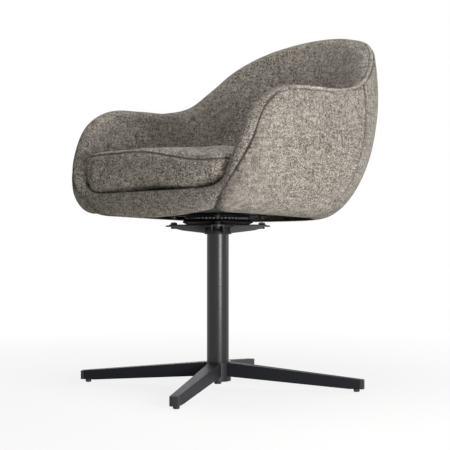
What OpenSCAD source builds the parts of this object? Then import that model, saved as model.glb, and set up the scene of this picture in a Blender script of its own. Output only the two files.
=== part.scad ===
/* [Base] */
// Radius from the swivel axis to the tips of the four arms
base_reach = 332; // [280:1:380]
// Turn of the four arms about the swivel axis, in degrees
base_turn = 30.4; // [0:0.1:45]
// Height of an arm where it meets the hub
arm_root_h = 31; // [24:1:40]
// Height of an arm at its tip
arm_tip_h = 20; // [14:1:26]
// Width of an arm where it meets the hub
arm_root_w = 29; // [22:1:36]
// Width of an arm at its tip
arm_tip_w = 19; // [16:1:26]
// Height of an arm's underside above the glides at the hub
arm_rise = 18.5; // [10:0.5:30]
// Wall of the arm tube
arm_wall = 2; // [1.5:0.1:3]
// Length of the plastic cap on each arm
cap_l = 9; // [6:0.5:14]
// Diameter of a glide
glide_d = 13.5; // [11:0.5:15]
// Height of a glide under its arm
glide_h = 6.5; // [4:0.5:12]
// Distance from an arm's tip to the middle of its glide
glide_inset = 17; // [15:1:30]
// Diameter of the threaded stem of a glide
glide_stem_d = 6; // [5:0.5:8]

/* [Hub and column] */
// Outer diameter of the hub socket
hub_d = 60; // [56:1:70]
// Height of the hub's underside above the floor
hub_floor_z = 14; // [12:1:18]
// Thickness of the hub's floor
hub_floor_t = 4; // [3:0.5:6]
// Height of the cover ring on the hub
hub_ring_h = 2; // [1.5:0.5:4]
// Outer diameter of the column tube
column_d = 50; // [44:1:52]
// Wall of the column tube
column_wall = 2; // [1.5:0.1:3]
// Length of the column tube
column_l = 340; // [260:1:400]
// Diameter of the bolt that holds the column to the hub
column_bolt_d = 10; // [8:1:12]

/* [Swivel] */
// Outer diameter of the boss on top of the column
boss_d = 62; // [58:1:70]
// Depth of the boss round the column tube
boss_socket = 12; // [8:1:20]
// Thickness of the boss above the tube
boss_cap = 4.5; // [4:0.5:8]
// Radius to the tips of the spider plate
spider_reach = 119; // [112:1:130]
// Thickness of the spider plate
spider_t = 3.5; // [2.5:0.5:5]
// Width of a spider arm
spider_w = 28; // [24:1:34]
// Radius of both bolt circles
bolt_circle_r = 100; // [96:1:106]
// Diameter of the bolts on both circles
bolt_d = 8; // [6:1:8]
// Thickness of the lower bearing plate
lower_plate_t = 2; // [1.5:0.5:3]
// Height of the lower race
lower_race_h = 11.5; // [8:0.5:14]
// Radius of the ball circle
ball_circle_r = 66; // [60:1:70]
// Diameter of a bearing ball
ball_d = 6; // [5:0.5:7]
// Number of bearing balls
ball_n = 48; // [24:1:50]
// Open height between the two races
race_gap = 3; // [2.5:0.5:4]
// Height of the upper race
upper_race_h = 4.5; // [4:0.5:8]
// Thickness of the upper bearing plate
upper_plate_t = 2.5; // [2:0.5:4]
// Diameter of the king pin
king_pin_d = 10; // [8:1:12]
// Height of the spacers between the upper plate and the seat board
spacer_h = 3.5; // [2:0.5:8]

/* [Seat shell] */
// Overall width over the arm rolls
shell_w = 604; // [560:1:660]
// Height of the crest above the seat board's underside
crest_rise = 442; // [400:1:490]
// Height of the arm tops above the seat board's underside
arm_top_rise = 259; // [235:1:285]
// Reach of the back roll behind the swivel axis
back_reach = 363; // [340:1:390]
// Reach of the arm rolls ahead of the swivel axis
front_reach = 215; // [195:1:235]
// Thickness of the padded roll along the rim
roll_t = 50; // [44:1:56]
// Drop of the bottom edge below the seat board at the front
edge_drop = 4; // [2:0.5:8]
// Fall of the bottom edge per millimetre of depth
edge_slope = 0.029; // [0:0.001:0.04]
// Width of the shell where it is fixed to the seat board
foot_w = 400; // [370:1:430]
// Reach of that fixing line behind the swivel axis
foot_back = 200; // [180:1:220]
// Reach of that fixing line ahead of the swivel axis
foot_front = 194; // [180:1:205]
// Thickness of the outer cover and its foam
cover_t = 16; // [12:0.5:20]
// Thickness of the moulded plywood shell
ply_t = 9; // [6:0.5:12]
// Thickness of the seat board
board_t = 12; // [9:0.5:18]
// Thickness of the foam deck on the seat board
deck_t = 32; // [20:1:45]
// Width of the flat welt along the rim seam
welt_w = 8; // [5:0.5:10]

/* [Cushion] */
// Thickness of the cushion at its side seams
cushion_side_t = 72; // [50:1:90]
// Rise of the cushion's crown above its top seam
cushion_crown = 28; // [15:1:40]
// Bulge of the cushion's sides beyond its seams
cushion_bulge = 7; // [3:0.5:12]
// Reach of the cushion ahead of the swivel axis
cushion_front = 214; // [200:1:225]
// Gap between the cushion and the padding around it
cushion_gap = 1.5; // [1:0.5:8]

/* [Hidden] */
$fn = 48;

fit = 0.08;        // radial clearance of a running fit
skin_gap = 0.3;    // clearance between a soft piece and what carries it
black = [0.13, 0.13, 0.14];
charcoal = [0.21, 0.21, 0.23];
zinc = [0.62, 0.62, 0.64];
plywood = [0.76, 0.62, 0.44];
foam = [0.86, 0.84, 0.76];
fabric = [0.52, 0.50, 0.47];
fabric_dark = [0.44, 0.42, 0.39];

// heights of the stack, from the floor up
arm_end_r = base_reach - cap_l;
arm_start_r = hub_d / 2 - 1;
hub_arm_z = glide_h + arm_rise;
hub_top_z = hub_arm_z + arm_root_h;
column_z = hub_floor_z + hub_floor_t;
column_top_z = column_z + column_l;
boss_z = column_top_z - boss_socket;
boss_top_z = column_top_z + boss_cap;
lower_plate_z = boss_top_z + spider_t;
lower_race_z = lower_plate_z + lower_plate_t;
race_top_z = lower_race_z + lower_race_h;
ball_z = race_top_z + race_gap / 2;
upper_race_z = race_top_z + race_gap;
upper_plate_z = upper_race_z + upper_race_h;
upper_plate_top_z = upper_plate_z + upper_plate_t;
board_z = upper_plate_top_z + spacer_h;
board_top_z = board_z + board_t;
deck_top_z = board_top_z + deck_t;
cushion_z = deck_top_z + skin_gap;

// arms of the base

// Angles of the four base arms, counted from the front one
function arm_angle(i) = 270 + base_turn + 90 * i;

// One tapered bar along +X: side outline crossed with plan outline, inset by w all round
module arm_bar(w, r0, r1) {
    flat_r = base_reach - 2 * glide_inset;
    function under(r) = r > flat_r ? 0 : arm_rise * (flat_r - r) / (flat_r - arm_start_r);
    function over(r) = arm_tip_h
        + (arm_rise + arm_root_h - arm_tip_h) * (base_reach - r) / (base_reach - arm_start_r);
    function half(r) = (arm_tip_w + (arm_root_w - arm_tip_w) * (base_reach - r)
        / (base_reach - arm_start_r)) / 2;
    intersection() {
        translate([0, 50, glide_h])
            rotate([90, 0, 0])
                linear_extrude(100)
                    polygon([[r0, under(r0) + w], [flat_r, w], [r1, w],
                        [r1, over(r1) - w], [r0, over(r0) - w]]);
        linear_extrude(100)
            polygon([[r0, w - half(r0)], [r1, w - half(r1)], [r1, half(r1) - w],
                [r0, half(r0) - w]]);
    }
}

module base_arm(i) {
    color(charcoal) rotate([0, 0, arm_angle(i)])
        difference() {
            arm_bar(0, arm_start_r - 5, arm_end_r);
            arm_bar(arm_wall, arm_start_r - 6, arm_end_r + 1);
            translate([0, 0, -1])
                cylinder(d = hub_d, h = hub_top_z + 20);
            translate([base_reach - glide_inset, 0, glide_h - 1])
                cylinder(d = glide_stem_d, h = arm_wall + 2);
        }
}

module end_cap(i) {
    plug_l = 4;
    color(black) rotate([0, 0, arm_angle(i)])
        union() {
            intersection() {
                arm_bar(0, arm_end_r, base_reach);
                translate([base_reach - 40, 0, glide_h])
                    cylinder(r = 40, h = arm_tip_h + 20, $fn = 96);
            }
            arm_bar(arm_wall + fit, arm_end_r - plug_l, arm_end_r + 1);
        }
}

module glide(i) {
    stem_h = arm_tip_h * 0.6;
    edge = 1.2;
    color(black) rotate([0, 0, arm_angle(i)])
        translate([base_reach - glide_inset, 0, 0])
            rotate_extrude()
                polygon([[0, 0], [glide_d / 2 - edge, 0], [glide_d / 2, edge], [glide_d / 2, glide_h],
                    [glide_stem_d / 2, glide_h], [glide_stem_d / 2, glide_h + stem_h],
                    [0, glide_h + stem_h]]);
}

// hub and column

module ring(d_out, d_in, h) {
    difference() {
        cylinder(d = d_out, h = h);
        translate([0, 0, -1])
            cylinder(d = d_in, h = h + 2);
    }
}

// Hexagon head or nut with its bore
module hex_nut(across, bore_d, h) {
    difference() {
        cylinder(d = across / cos(30), h = h, $fn = 6);
        translate([0, 0, -1])
            cylinder(d = bore_d, h = h + 2);
    }
}

module hub_socket() {
    color(charcoal) difference() {
        translate([0, 0, hub_floor_z])
            cylinder(d = hub_d, h = hub_top_z - hub_floor_z);
        translate([0, 0, column_z])
            cylinder(d = column_d, h = hub_top_z);
        cylinder(d = column_bolt_d + 2 * fit, h = column_z + 1);
    }
}

module hub_cover_ring() {
    edge = 0.8;
    color(charcoal) translate([0, 0, hub_top_z])
        rotate_extrude()
            polygon([[column_d / 2, 0], [hub_d / 2, 0], [hub_d / 2, hub_ring_h - edge],
                [hub_d / 2 - edge, hub_ring_h], [column_d / 2, hub_ring_h]]);
}

module column_tube() {
    color(charcoal) translate([0, 0, column_z])
        ring(column_d, column_d - 2 * column_wall, column_l);
}

end_plate_t = 12;

module column_end_plate() {
    color(zinc) translate([0, 0, column_z])
        ring(column_d - 2 * column_wall, column_bolt_d, end_plate_t);
}

washer_t = 2;

module column_bolt() {
    head_h = 5.5;
    color(zinc) {
        translate([0, 0, hub_floor_z - washer_t - head_h])
            cylinder(d = column_bolt_d * 1.7, h = head_h, $fn = 6);
        translate([0, 0, hub_floor_z - washer_t - 1])
            cylinder(d = column_bolt_d, h = washer_t + hub_floor_t + end_plate_t + 1);
    }
}

module column_washer() {
    color(zinc) translate([0, 0, hub_floor_z - washer_t])
        ring(column_bolt_d * 2.6, column_bolt_d, washer_t);
}

// swivel

module on_bolt_circle() {
    for (i = [0:3])
        rotate([0, 0, 45 + 90 * i])
            translate([bolt_circle_r, 0, 0])
                children();
}

module top_boss() {
    color(charcoal) difference() {
        translate([0, 0, boss_z])
            cylinder(d = boss_d, h = boss_top_z - boss_z);
        translate([0, 0, boss_z - 1])
            cylinder(d = column_d, h = boss_socket + 1);
        translate([0, 0, boss_z])
            cylinder(d = king_pin_d, h = boss_top_z);
    }
}

// Four round-ended arms with a round middle, as a flat outline
module cross_outline(reach, w, middle_d) {
    circle(d = middle_d, $fn = 96);
    for (i = [0:3])
        rotate(45 + 90 * i) {
            translate([0, -w / 2])
                square([reach - w / 2, w]);
            translate([reach - w / 2, 0])
                circle(d = w);
        }
}

// Pressed channel arms: a flat top with two turned-down sides on each arm
module spider_plate() {
    flange_t = 3;
    flange_end = bolt_circle_r + 2;
    root_r = boss_d / 2 - 3;
    flange_h = boss_top_z - boss_z - 2;
    color(charcoal) difference() {
        union() {
            translate([0, 0, boss_top_z])
                linear_extrude(spider_t)
                    cross_outline(spider_reach, spider_w, boss_d + 14);
            for (i = [0:3], edge = [-1, 1])
                rotate([0, 0, 45 + 90 * i])
                    translate([0, edge * (spider_w - flange_t) / 2 + flange_t / 2, boss_top_z])
                        rotate([90, 0, 0])
                            linear_extrude(flange_t)
                                polygon([[root_r, 0.5], [flange_end, 0.5], [flange_end, -3],
                                    [flange_end - 20, -8], [root_r, -flange_h]]);
        }
        translate([0, 0, boss_z - 10])
            cylinder(d = boss_d, h = boss_top_z - boss_z + 10);
        cylinder(d = king_pin_d, h = 2 * boss_top_z);
        translate([0, 0, boss_z])
            on_bolt_circle()
                cylinder(d = bolt_d, h = 100);
    }
}

bolt_head_h = 4.5;

// Round-headed bolts up through the spider and the lower plate
module spider_bolts() {
    grip = spider_t + lower_plate_t;
    color(black) translate([0, 0, boss_top_z])
        on_bolt_circle() {
            translate([0, 0, -bolt_head_h])
                cylinder(d = bolt_d * 1.7, h = bolt_head_h);
            translate([0, 0, -1])
                cylinder(d = bolt_d, h = grip + 6);
        }
}

module spider_nuts() {
    color(black) translate([0, 0, lower_race_z])
        on_bolt_circle()
            hex_nut(bolt_d * 1.6, bolt_d, 4);
}

// Flared ring with the lower ball groove, on a plate whose ears lie on the spider's arms
module lower_race_plate() {
    color(black) difference() {
        union() {
            translate([0, 0, lower_plate_z])
                linear_extrude(lower_plate_t)
                    cross_outline(bolt_circle_r + 11, 22, 2 * (ball_circle_r + 6));
            translate([0, 0, lower_race_z])
                rotate_extrude($fn = 96)
                    polygon([[ball_circle_r - 8, -0.5], [ball_circle_r + 4, -0.5],
                        [ball_circle_r + 14, lower_race_h * 0.35],
                        [ball_circle_r + 14, lower_race_h * 0.6],
                        [ball_circle_r + 7, lower_race_h], [ball_circle_r - 8, lower_race_h]]);
        }
        translate([0, 0, ball_z])
            rotate_extrude($fn = 96)
                translate([ball_circle_r, 0])
                    circle(d = ball_d + 2 * fit);
        cylinder(d = king_pin_d, h = 2 * boss_top_z);
        translate([0, 0, boss_z])
            on_bolt_circle()
                cylinder(d = bolt_d, h = 100);
    }
}

pin_head_h = 5;
nut_h = 8;

module king_pin() {
    top_z = upper_plate_top_z + skin_gap + washer_t + nut_h;
    color(zinc) {
        translate([0, 0, column_top_z - pin_head_h])
            cylinder(d = 24, h = pin_head_h);
        translate([0, 0, column_top_z - 1])
            cylinder(d = king_pin_d, h = top_z - column_top_z + 1);
    }
}

module king_pin_washer() {
    color(zinc) translate([0, 0, upper_plate_top_z + skin_gap])
        ring(26, king_pin_d, washer_t);
}

module king_pin_nut() {
    color(zinc) translate([0, 0, upper_plate_top_z + skin_gap + washer_t])
        hex_nut(17, king_pin_d, nut_h);
}

// Thin ring between the races with a round pocket for each ball
module ball_cage() {
    cage_t = 1.2;
    color(black) difference() {
        translate([0, 0, ball_z - cage_t / 2])
            ring(2 * ball_circle_r + 10, 2 * ball_circle_r - 10, cage_t);
        for (i = [0:ball_n - 1])
            rotate([0, 0, 360 / ball_n * i])
                translate([ball_circle_r, 0, ball_z - cage_t])
                    cylinder(d = ball_d + 2 * fit, h = 2 * cage_t, $fn = 16);
    }
}

module bearing_balls() {
    color(zinc) for (i = [0:ball_n - 1])
        rotate([0, 0, 360 / ball_n * i])
            translate([ball_circle_r, 0, ball_z])
                sphere(d = ball_d, $fn = 16);
}

module upper_race() {
    color(black) difference() {
        translate([0, 0, upper_race_z])
            ring(2 * ball_circle_r + 18, 2 * ball_circle_r - 18, upper_race_h);
        translate([0, 0, ball_z])
            rotate_extrude($fn = 96)
                translate([ball_circle_r, 0])
                    circle(d = ball_d + 2 * fit);
    }
}

bush_d = king_pin_d + 8;

module upper_plate() {
    color(black) difference() {
        translate([0, 0, upper_plate_z])
            linear_extrude(upper_plate_t)
                cross_outline(bolt_circle_r + 13, 30, 2 * (ball_circle_r + 12));
        cylinder(d = bush_d, h = 2 * board_z);
        translate([0, 0, boss_z])
            on_bolt_circle()
                cylinder(d = bolt_d, h = 100);
    }
}

module pivot_bush() {
    color(foam) translate([0, 0, upper_plate_z])
        ring(bush_d, king_pin_d + 2 * fit, upper_plate_t);
}

// Bolts from below the upper plate, through the spacers, into the seat board's tee nuts
module seat_bolts() {
    grip = upper_plate_t + spacer_h + board_t;
    color(black) translate([0, 0, upper_plate_z])
        on_bolt_circle() {
            translate([0, 0, -bolt_head_h])
                cylinder(d = bolt_d * 1.7, h = bolt_head_h);
            translate([0, 0, -1])
                cylinder(d = bolt_d, h = grip + 1);
        }
}

module spacer_bushes() {
    color(black) translate([0, 0, upper_plate_top_z])
        on_bolt_circle()
            ring(bolt_d + 10, bolt_d, spacer_h);
}

tee_barrel_d = bolt_d + 3;
tee_flange_d = bolt_d + 14;
tee_flange_t = 1.5;
tee_h = board_t * 0.75;

// Threaded barrels whose flanges lie flush in the seat board's top
module t_nuts() {
    color(zinc) translate([0, 0, board_top_z - tee_h])
        on_bolt_circle()
            difference() {
                union() {
                    cylinder(d = tee_barrel_d, h = tee_h);
                    translate([0, 0, tee_h - tee_flange_t])
                        cylinder(d = tee_flange_d, h = tee_flange_t);
                }
                translate([0, 0, -1])
                    cylinder(d = bolt_d, h = tee_h + 2);
            }
}

// surfaces of the seat shell
// A station runs from 0 at the middle of the back to 12 at the front corner under an arm,
// and its sign gives the side, with plus at the sitter's left.

last_k = 12;
seam_k = 4;
nose_flat = 0.88;                        // height of the roll's cap against its half thickness
roll_r = roll_t / 2;
hx = shell_w / 2 - roll_r;
yb = back_reach - roll_r;
yf = nose_flat * roll_r - front_reach;
crest_z = board_z + crest_rise - nose_flat * roll_r;
arm_z = board_z + arm_top_rise - nose_flat * roll_r;
edge_z = board_z - edge_drop;

function mix(a, b, t) = a + (b - a) * t;
function unit(v) = v / norm(v);

// Smooth 0 to 1 while x runs from a to b
function ease(x, a, b) = let (t = min(1, max(0, (x - a) / (b - a)))) t * t * (3 - 2 * t);
function flat(v) = [v.x, v.y, 0];

// Smooth curve through a list of values, where the one before the first mirrors the second
function curve(list, u, flip) =
    let (n = len(list) - 1, c = min(max(u, 0), n), i = min(floor(c), n - 1), t = c - i)
    let (p1 = list[i], p2 = list[i + 1], p3 = list[min(i + 2, n)])
    let (p0 = i > 0 ? list[i - 1] : flip ? [-p2.x, p2.y, p2.z] : p2)
    (2 * p1 + (p2 - p0) * t + (2 * p0 - 5 * p1 + 4 * p2 - p3) * t * t
        + (3 * p1 - p0 - 3 * p2 + p3) * t * t * t) / 2;

function side(k) = k < 0 ? -1 : 1;
function sided(p, k) = [side(k) * p.x, p.y, p.z];

// Points in from the back roll and from the front roll, as shares of the shell's depth
shell_depth = yb - yf;
function in_back(share) = yb - share * shell_depth;
function in_front(share) = yf + share * shell_depth;

// Centre line of the padded roll: crest, shoulder, arm top, arm front, corner
crest_h = crest_z - arm_z;
arm_h = arm_z - edge_z;
roll_line = [[0, yb, crest_z], [0.415 * hx, in_back(0.0245), crest_z - 0.066 * crest_h],
    [0.722 * hx, in_back(0.09), crest_z - 0.262 * crest_h],
    [0.888 * hx, in_back(0.185), arm_z + 0.415 * crest_h],
    [0.968 * hx, in_back(0.305), arm_z + 0.137 * crest_h], [hx, in_back(0.463), arm_z + 0.022 * crest_h],
    [hx, in_back(0.637), arm_z], [hx, in_front(0.203), arm_z - 0.029 * arm_h],
    [0.986 * hx, in_front(0.09), arm_z - 0.174 * arm_h], [0.964 * hx, in_front(0.028), edge_z + 0.56 * arm_h],
    [0.91 * hx, yf, edge_z + 0.315 * arm_h], [0.823 * hx, yf, edge_z + 0.137 * arm_h],
    [0.708 * hx, in_front(0.0245), edge_z + 0.029 * arm_h]];

// Line along which the outer cover is fixed to the seat board
foot_x = foot_w / 2;
foot_depth = foot_back + foot_front;
foot_line = [[0, foot_back, 0], [0.35 * foot_x, foot_back - 0.01 * foot_depth, 0],
    [0.66 * foot_x, foot_back - 0.071 * foot_depth, 0], [0.86 * foot_x, foot_back - 0.173 * foot_depth, 0],
    [0.96 * foot_x, foot_back - 0.292 * foot_depth, 0], [0.99 * foot_x, foot_back - 0.419 * foot_depth, 0],
    [foot_x, foot_back - 0.558 * foot_depth, 0], [foot_x, 0.315 * foot_depth - foot_front, 0],
    [foot_x, 0.213 * foot_depth - foot_front, 0], [0.995 * foot_x, 0.137 * foot_depth - foot_front, 0],
    [0.98 * foot_x, 0.081 * foot_depth - foot_front, 0],
    [0.955 * foot_x, 0.0355 * foot_depth - foot_front, 0],
    [0.92 * foot_x, -foot_front, 0]];

// Line where the inner padding meets the deck
seat_x = hx - 1.88 * roll_r;
inner_line = [[0, in_back(0.154), 0], [0.36 * seat_x, in_back(0.173), 0], [0.67 * seat_x, in_back(0.235), 0],
    [0.87 * seat_x, in_back(0.333), 0], [0.975 * seat_x, in_back(0.433), 0],
    [1.004 * seat_x, in_back(0.537), 0],
    [1.004 * seat_x, in_back(0.652), 0], [seat_x, in_front(0.2335), 0], [0.996 * seat_x, in_front(0.154), 0],
    [0.991 * seat_x, in_front(0.094), 0], [0.965 * seat_x, in_front(0.041), 0],
    [0.939 * seat_x, in_front(0.011), 0], [0.913 * seat_x, in_front(-0.004), 0]];

// Turn of the outward direction away from straight back, and three reaches of the outer bulge
turn = [0, 18, 42, 66, 82, 89, 90, 90, 92, 94, 100, 112, 130];
tuck = hx * [0.513, 0.487, 0.426, 0.375, 0.361, 0.354, 0.343, 0.325, 0.307, 0.253, 0.162, 0.079, 0.029];
bulge = hx * [0.123, 0.119, 0.108, 0.101, 0.101, 0.09, 0.072, 0.065, 0.051, 0.036, 0.022, 0.007, 0.004];
drop = arm_h * [0.913, 0.871, 0.726, 0.622, 0.56, 0.539, 0.498, 0.456, 0.332, 0.207, 0.083, 0.025, 0.008];
// Angle round the roll at which the rim seam lies, and the roll's thickness at each station
seam_turn = [55, 55, 55, 55, 55, 55, 55, 50, 36, 26, 25, 25, 25];
roll_share = [1, 1, 1, 1, 1, 1, 1, 1, 1, 1, 1, 0.88, 0.64];

function roll_at(k) = sided(curve(roll_line, abs(k), true), k);
function outward(k) = let (a = side(k) * curve(turn, abs(k), false)) [sin(a), cos(a), 0];
function foot_at(k) =
    let (p = curve(foot_line, abs(k), true))
    [side(k) * p.x, p.y, edge_z - edge_slope * (p.y + foot_front)];

// Frame of the roll: along it, outward across it, and up out of it
function roll_frame(k) =
    let (e = 0.02, t = unit(roll_at(k + e) - roll_at(k - e)), o = outward(k))
    let (n = unit(o - (o * t) * t))
    [n, cross(t, n)];

// Point on the roll at an angle from its outer side, at a share of its thickness
function roll_point(k, a, share = 1) =
    let (f = roll_frame(k), r = share * roll_r * curve(roll_share, abs(k), false))
    roll_at(k) + r * cos(a) * f[0] + nose_flat * r * sin(a) * f[1];

function seam_at(k) = roll_point(k, curve(seam_turn, abs(k), false));

function bezier(a, b, c, d, t) =
    pow(1 - t, 3) * a + 3 * pow(1 - t, 2) * t * b + 3 * (1 - t) * t * t * c + t * t * t * d;

// Outer surface of the shell, from the fixing line at t = 0 to the rim seam at t = 1
function outer_at(k, t) =
    let (a = foot_at(k), d = seam_at(k), o = outward(k), j = abs(k))
    bezier(a, a + curve(tuck, j, false) * o,
        d + curve(bulge, j, false) * o - [0, 0, curve(drop, j, false)], d, t);

function outer_normal(k, t) =
    let (e = 0.01)
    unit(cross(outer_at(k, t + e) - outer_at(k, t - e), outer_at(k + e, t) - outer_at(k - e, t)));

// Way into the shell from its outer surface, which turns to the roll's middle at the rim seam
function inward(k, t) =
    let (s = max(0, (t - 0.7) / 0.3), n = -outer_normal(k, t))
    s > 0 ? unit(mix(n, unit(roll_at(k) - seam_at(k)), min(1, s * s))) : n;

// Share of a depth that is kept, less towards the front corner where the shell runs out
function kept(k) = min(1, (last_k + 0.6 - abs(k)) / 2.6);

function outer_in(k, t, depth) = outer_at(k, t) + depth * kept(k) * inward(k, t);

// Share along the outer surface at which a layer of some depth passes a height, by halving
function t_at(k, z, depth, lo = 0, hi = 1, n = 9) =
    n == 0 ? (lo + hi) / 2 :
        let (m = (lo + hi) / 2)
        outer_in(k, m, depth).z < z ? t_at(k, z, depth, m, hi, n - 1) : t_at(k, z, depth, lo, m, n - 1);

// Inner surface of the padding, from the roll at t = 0 down to the deck at t = 1
pad_z = deck_top_z + skin_gap;

function inner_at(k, t) =
    let (a = roll_point(k, 180), p = curve(inner_line, abs(k), true), o = outward(k))
    let (d = [side(k) * p.x, p.y, pad_z], h = a.z - d.z)
    bezier(a, a - [0, 0, 0.35 * h] - 4 * o, d + [0, 0, 0.35 * h] + 10 * min(1, h / 100) * o, d, t);

// closed solids between two sheets of points with the same rows and columns

module between(front, rear) {
    rows = len(front);
    cols = len(front[0]);
    all = rows * cols;
    points = concat([for (row = front, p = row) p], [for (row = rear, p = row) p]);
    function id(i, j) = i * cols + j;
    faces = concat(
        [for (i = [0:rows - 2], j = [0:cols - 2], h = [0, 1])
            h == 0 ? [id(i, j), id(i, j + 1), id(i + 1, j + 1)]
                : [id(i, j), id(i + 1, j + 1), id(i + 1, j)]],
        [for (i = [0:rows - 2], j = [0:cols - 2], h = [0, 1])
            h == 0 ? [all + id(i, j), all + id(i + 1, j + 1), all + id(i, j + 1)]
                : [all + id(i, j), all + id(i + 1, j), all + id(i + 1, j + 1)]],
        [for (i = [0:rows - 2], e = [0, 1], h = [0, 1])
            let (j = e * (cols - 1), a = id(i, j), b = id(i + 1, j))
            let (f = h == 0 ? [a, b, all + b] : [a, all + b, all + a])
            e == 0 ? f : [f[2], f[1], f[0]]],
        [for (j = [0:cols - 2], e = [0, 1], h = [0, 1])
            let (i = e * (rows - 1), a = id(i, j), b = id(i, j + 1))
            let (f = h == 0 ? [a, all + b, b] : [a, all + a, all + b])
            e == 0 ? f : [f[2], f[1], f[0]]]);
    polyhedron(points, faces, convexity = 8);
}

function steps(a, b, n) = [for (i = [0:n]) mix(a, b, i / n)];

// Stations from -last to last on the grid that all the shell's layers share
station = 0.5;
function stations(last) =
    let (n = ceil(last / station) - 1)
    concat([-last], [for (i = [-n:n]) i * station], [last]);

// Outer cover with its foam between two stations
module outer_cover(k0, k1) {
    nt = 9;
    ks = [for (k = [k0:station:k1]) k];
    between([for (k = ks) [for (t = steps(1, 0, nt)) outer_at(k, t)]],
        [for (k = ks) [for (t = steps(1, 0, nt)) outer_in(k, t, cover_t)]]);
}

module outer_side_left() {
    color(fabric) outer_cover(seam_k, last_k);
}

module outer_side_right() {
    color(fabric) outer_cover(-last_k, -seam_k);
}

module outer_back() {
    color(fabric) outer_cover(-seam_k, seam_k);
}

// Moulded plywood behind the covers, with a flat flange that is screwed on the seat board
ply_clear = 1.6;         // room for the glue and the staples behind the cover
ply_depth = cover_t + ply_clear;
ply_last_k = 10.3;
ply_top_t = 0.9;
flange_w = 26;
flange_z = board_top_z + skin_gap;
flange_top_z = flange_z + ply_t;

module shell_ply() {
    n = 10;
    function row(k, depth, z) =
        let (f = flat(foot_at(k)) + [0, 0, z], t0 = max(0.02, t_at(k, z + 0.5, depth)))
        concat([for (t = steps(ply_top_t, t0, n)) outer_in(k, t, depth)], [f - flange_w * outward(k)]);
    color(plywood)
        between([for (k = stations(ply_last_k)) row(k, ply_depth, flange_z)],
            [for (k = stations(ply_last_k)) row(k, ply_depth + ply_t, flange_top_z)]);
}

// Outline of the seat board: the fixing line drawn in a little, closed across the front
board_inset = 2;
board_outline = [for (k = steps(-last_k, last_k, 40))
    let (p = foot_at(k) - board_inset * outward(k)) [p.x, p.y]];

module seat_board() {
    color(plywood) difference() {
        translate([0, 0, board_z])
            linear_extrude(board_t)
                polygon(board_outline);
        translate([0, 0, board_z - 1])
            cylinder(d = 36, h = board_t + 2);
        translate([0, 0, board_z - 1])
            on_bolt_circle()
                cylinder(d = bolt_d, h = board_t + 2);
        translate([0, 0, board_top_z - tee_h])
            on_bolt_circle()
                cylinder(d = tee_barrel_d, h = board_t);
        translate([0, 0, board_top_z - tee_flange_t])
            on_bolt_circle()
                cylinder(d = tee_flange_d, h = board_t);
    }
}

cambric_t = 0.6;

module dust_cover() {
    color(black) difference() {
        translate([0, 0, board_z - cambric_t])
            linear_extrude(cambric_t)
                polygon([for (p = board_outline) p * 0.96]);
        translate([0, 0, board_z - 5])
            cylinder(d = 36, h = 10);
        translate([0, 0, board_z - 5])
            on_bolt_circle()
                cylinder(d = bolt_d + 10, h = 10);
    }
}

screw_d = 4;
screw_head_h = 2;
screw_in = 0.5 * flange_w;

module shell_screws() {
    screw_k = [-9, -6, -3.2, -1.2, 1.2, 3.2, 6, 9];
    color(zinc) for (k = screw_k)
        let (p = flat(foot_at(k)) - screw_in * outward(k))
            translate([p.x, p.y, 0]) {
                translate([0, 0, flange_top_z])
                    cylinder(d = 2 * screw_d, h = screw_head_h);
                translate([0, 0, board_z + 2])
                    cylinder(d = screw_d, h = flange_top_z - board_z - 1);
            }
}

// Solid between rings of points, closed by a point at each end
module rings(list, tip0, tip1) {
    n = len(list[0]);
    m = len(list);
    points = concat([for (r = list, p = r) p], [tip0, tip1]);
    function id(i, j) = i * n + (j % n);
    faces = concat(
        [for (i = [0:m - 2], j = [0:n - 1], h = [0, 1])
            h == 0 ? [id(i, j), id(i + 1, j + 1), id(i + 1, j)]
                : [id(i, j), id(i, j + 1), id(i + 1, j + 1)]],
        [for (j = [0:n - 1]) [m * n, id(0, j + 1), id(0, j)]],
        [for (j = [0:n - 1]) [m * n + 1, id(m - 1, j), id(m - 1, j + 1)]]);
    polyhedron(points, faces, convexity = 6);
}

// Foam deck on the seat board: a plug inside the plywood's flange, and a pad over both
pad_clear = 1.4;         // room between the plywood and the foam inside it
deck_depth = ply_depth + ply_t + pad_clear;
deck_last_k = 9.4;

module seat_deck() {
    front_y = apron_y + apron_t + skin_gap;
    over_z = flange_top_z + screw_head_h + skin_gap;
    function closed(line) =
        let (q = line[0])
        concat([for (p = line) [p.x, max(p.y, front_y), p.z]],
            [for (x = steps(-q.x, q.x, 7)) if (abs(x) < abs(q.x) - 1) [x, front_y, q.z]]);
    function plug(z) = closed([for (k = stations(deck_last_k))
        flat(foot_at(k)) + [0, 0, z] - (flange_w + 1) * outward(k)]);
    function pad(z) = closed([for (k = stations(deck_last_k))
        let (p = outer_in(k, t_at(k, z, deck_depth), deck_depth)) [p.x, p.y, z]]);
    low_z = board_top_z + skin_gap;
    color(foam) rings([plug(low_z), plug(over_z), pad(over_z + 0.5),
        pad(mix(over_z, deck_top_z, 0.55)), pad(deck_top_z)], [0, 0, low_z], [0, 0, deck_top_z]);
}

// Inner padding: over the roll from the rim seam, then down the inside to the deck
pad_last_k = 10.2;

module inner_pad() {
    n_roll = 5;
    n_face = 8;
    seam_clear = 3;
    under = (roll_r - cover_t) / roll_r;
    depth = deck_depth + 0.4;
    ks = stations(pad_last_k);
    function turns(k) = steps(curve(seam_turn, abs(k), false) + seam_clear, 180, n_roll);
    function seen(k) = concat([for (a = turns(k)) roll_point(k, a)],
        [for (t = steps(1 / n_face, 1, n_face - 1)) inner_at(k, t)]);
    function hidden(k) = concat([for (a = turns(k)) roll_point(k, a, under)],
        [for (t = steps(ply_top_t, t_at(k, pad_z, depth), n_face - 1)) outer_in(k, t, depth)]);
    color(fabric_dark)
        between([for (k = ks) hidden(k)], [for (k = ks) seen(k)]);
}

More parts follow.
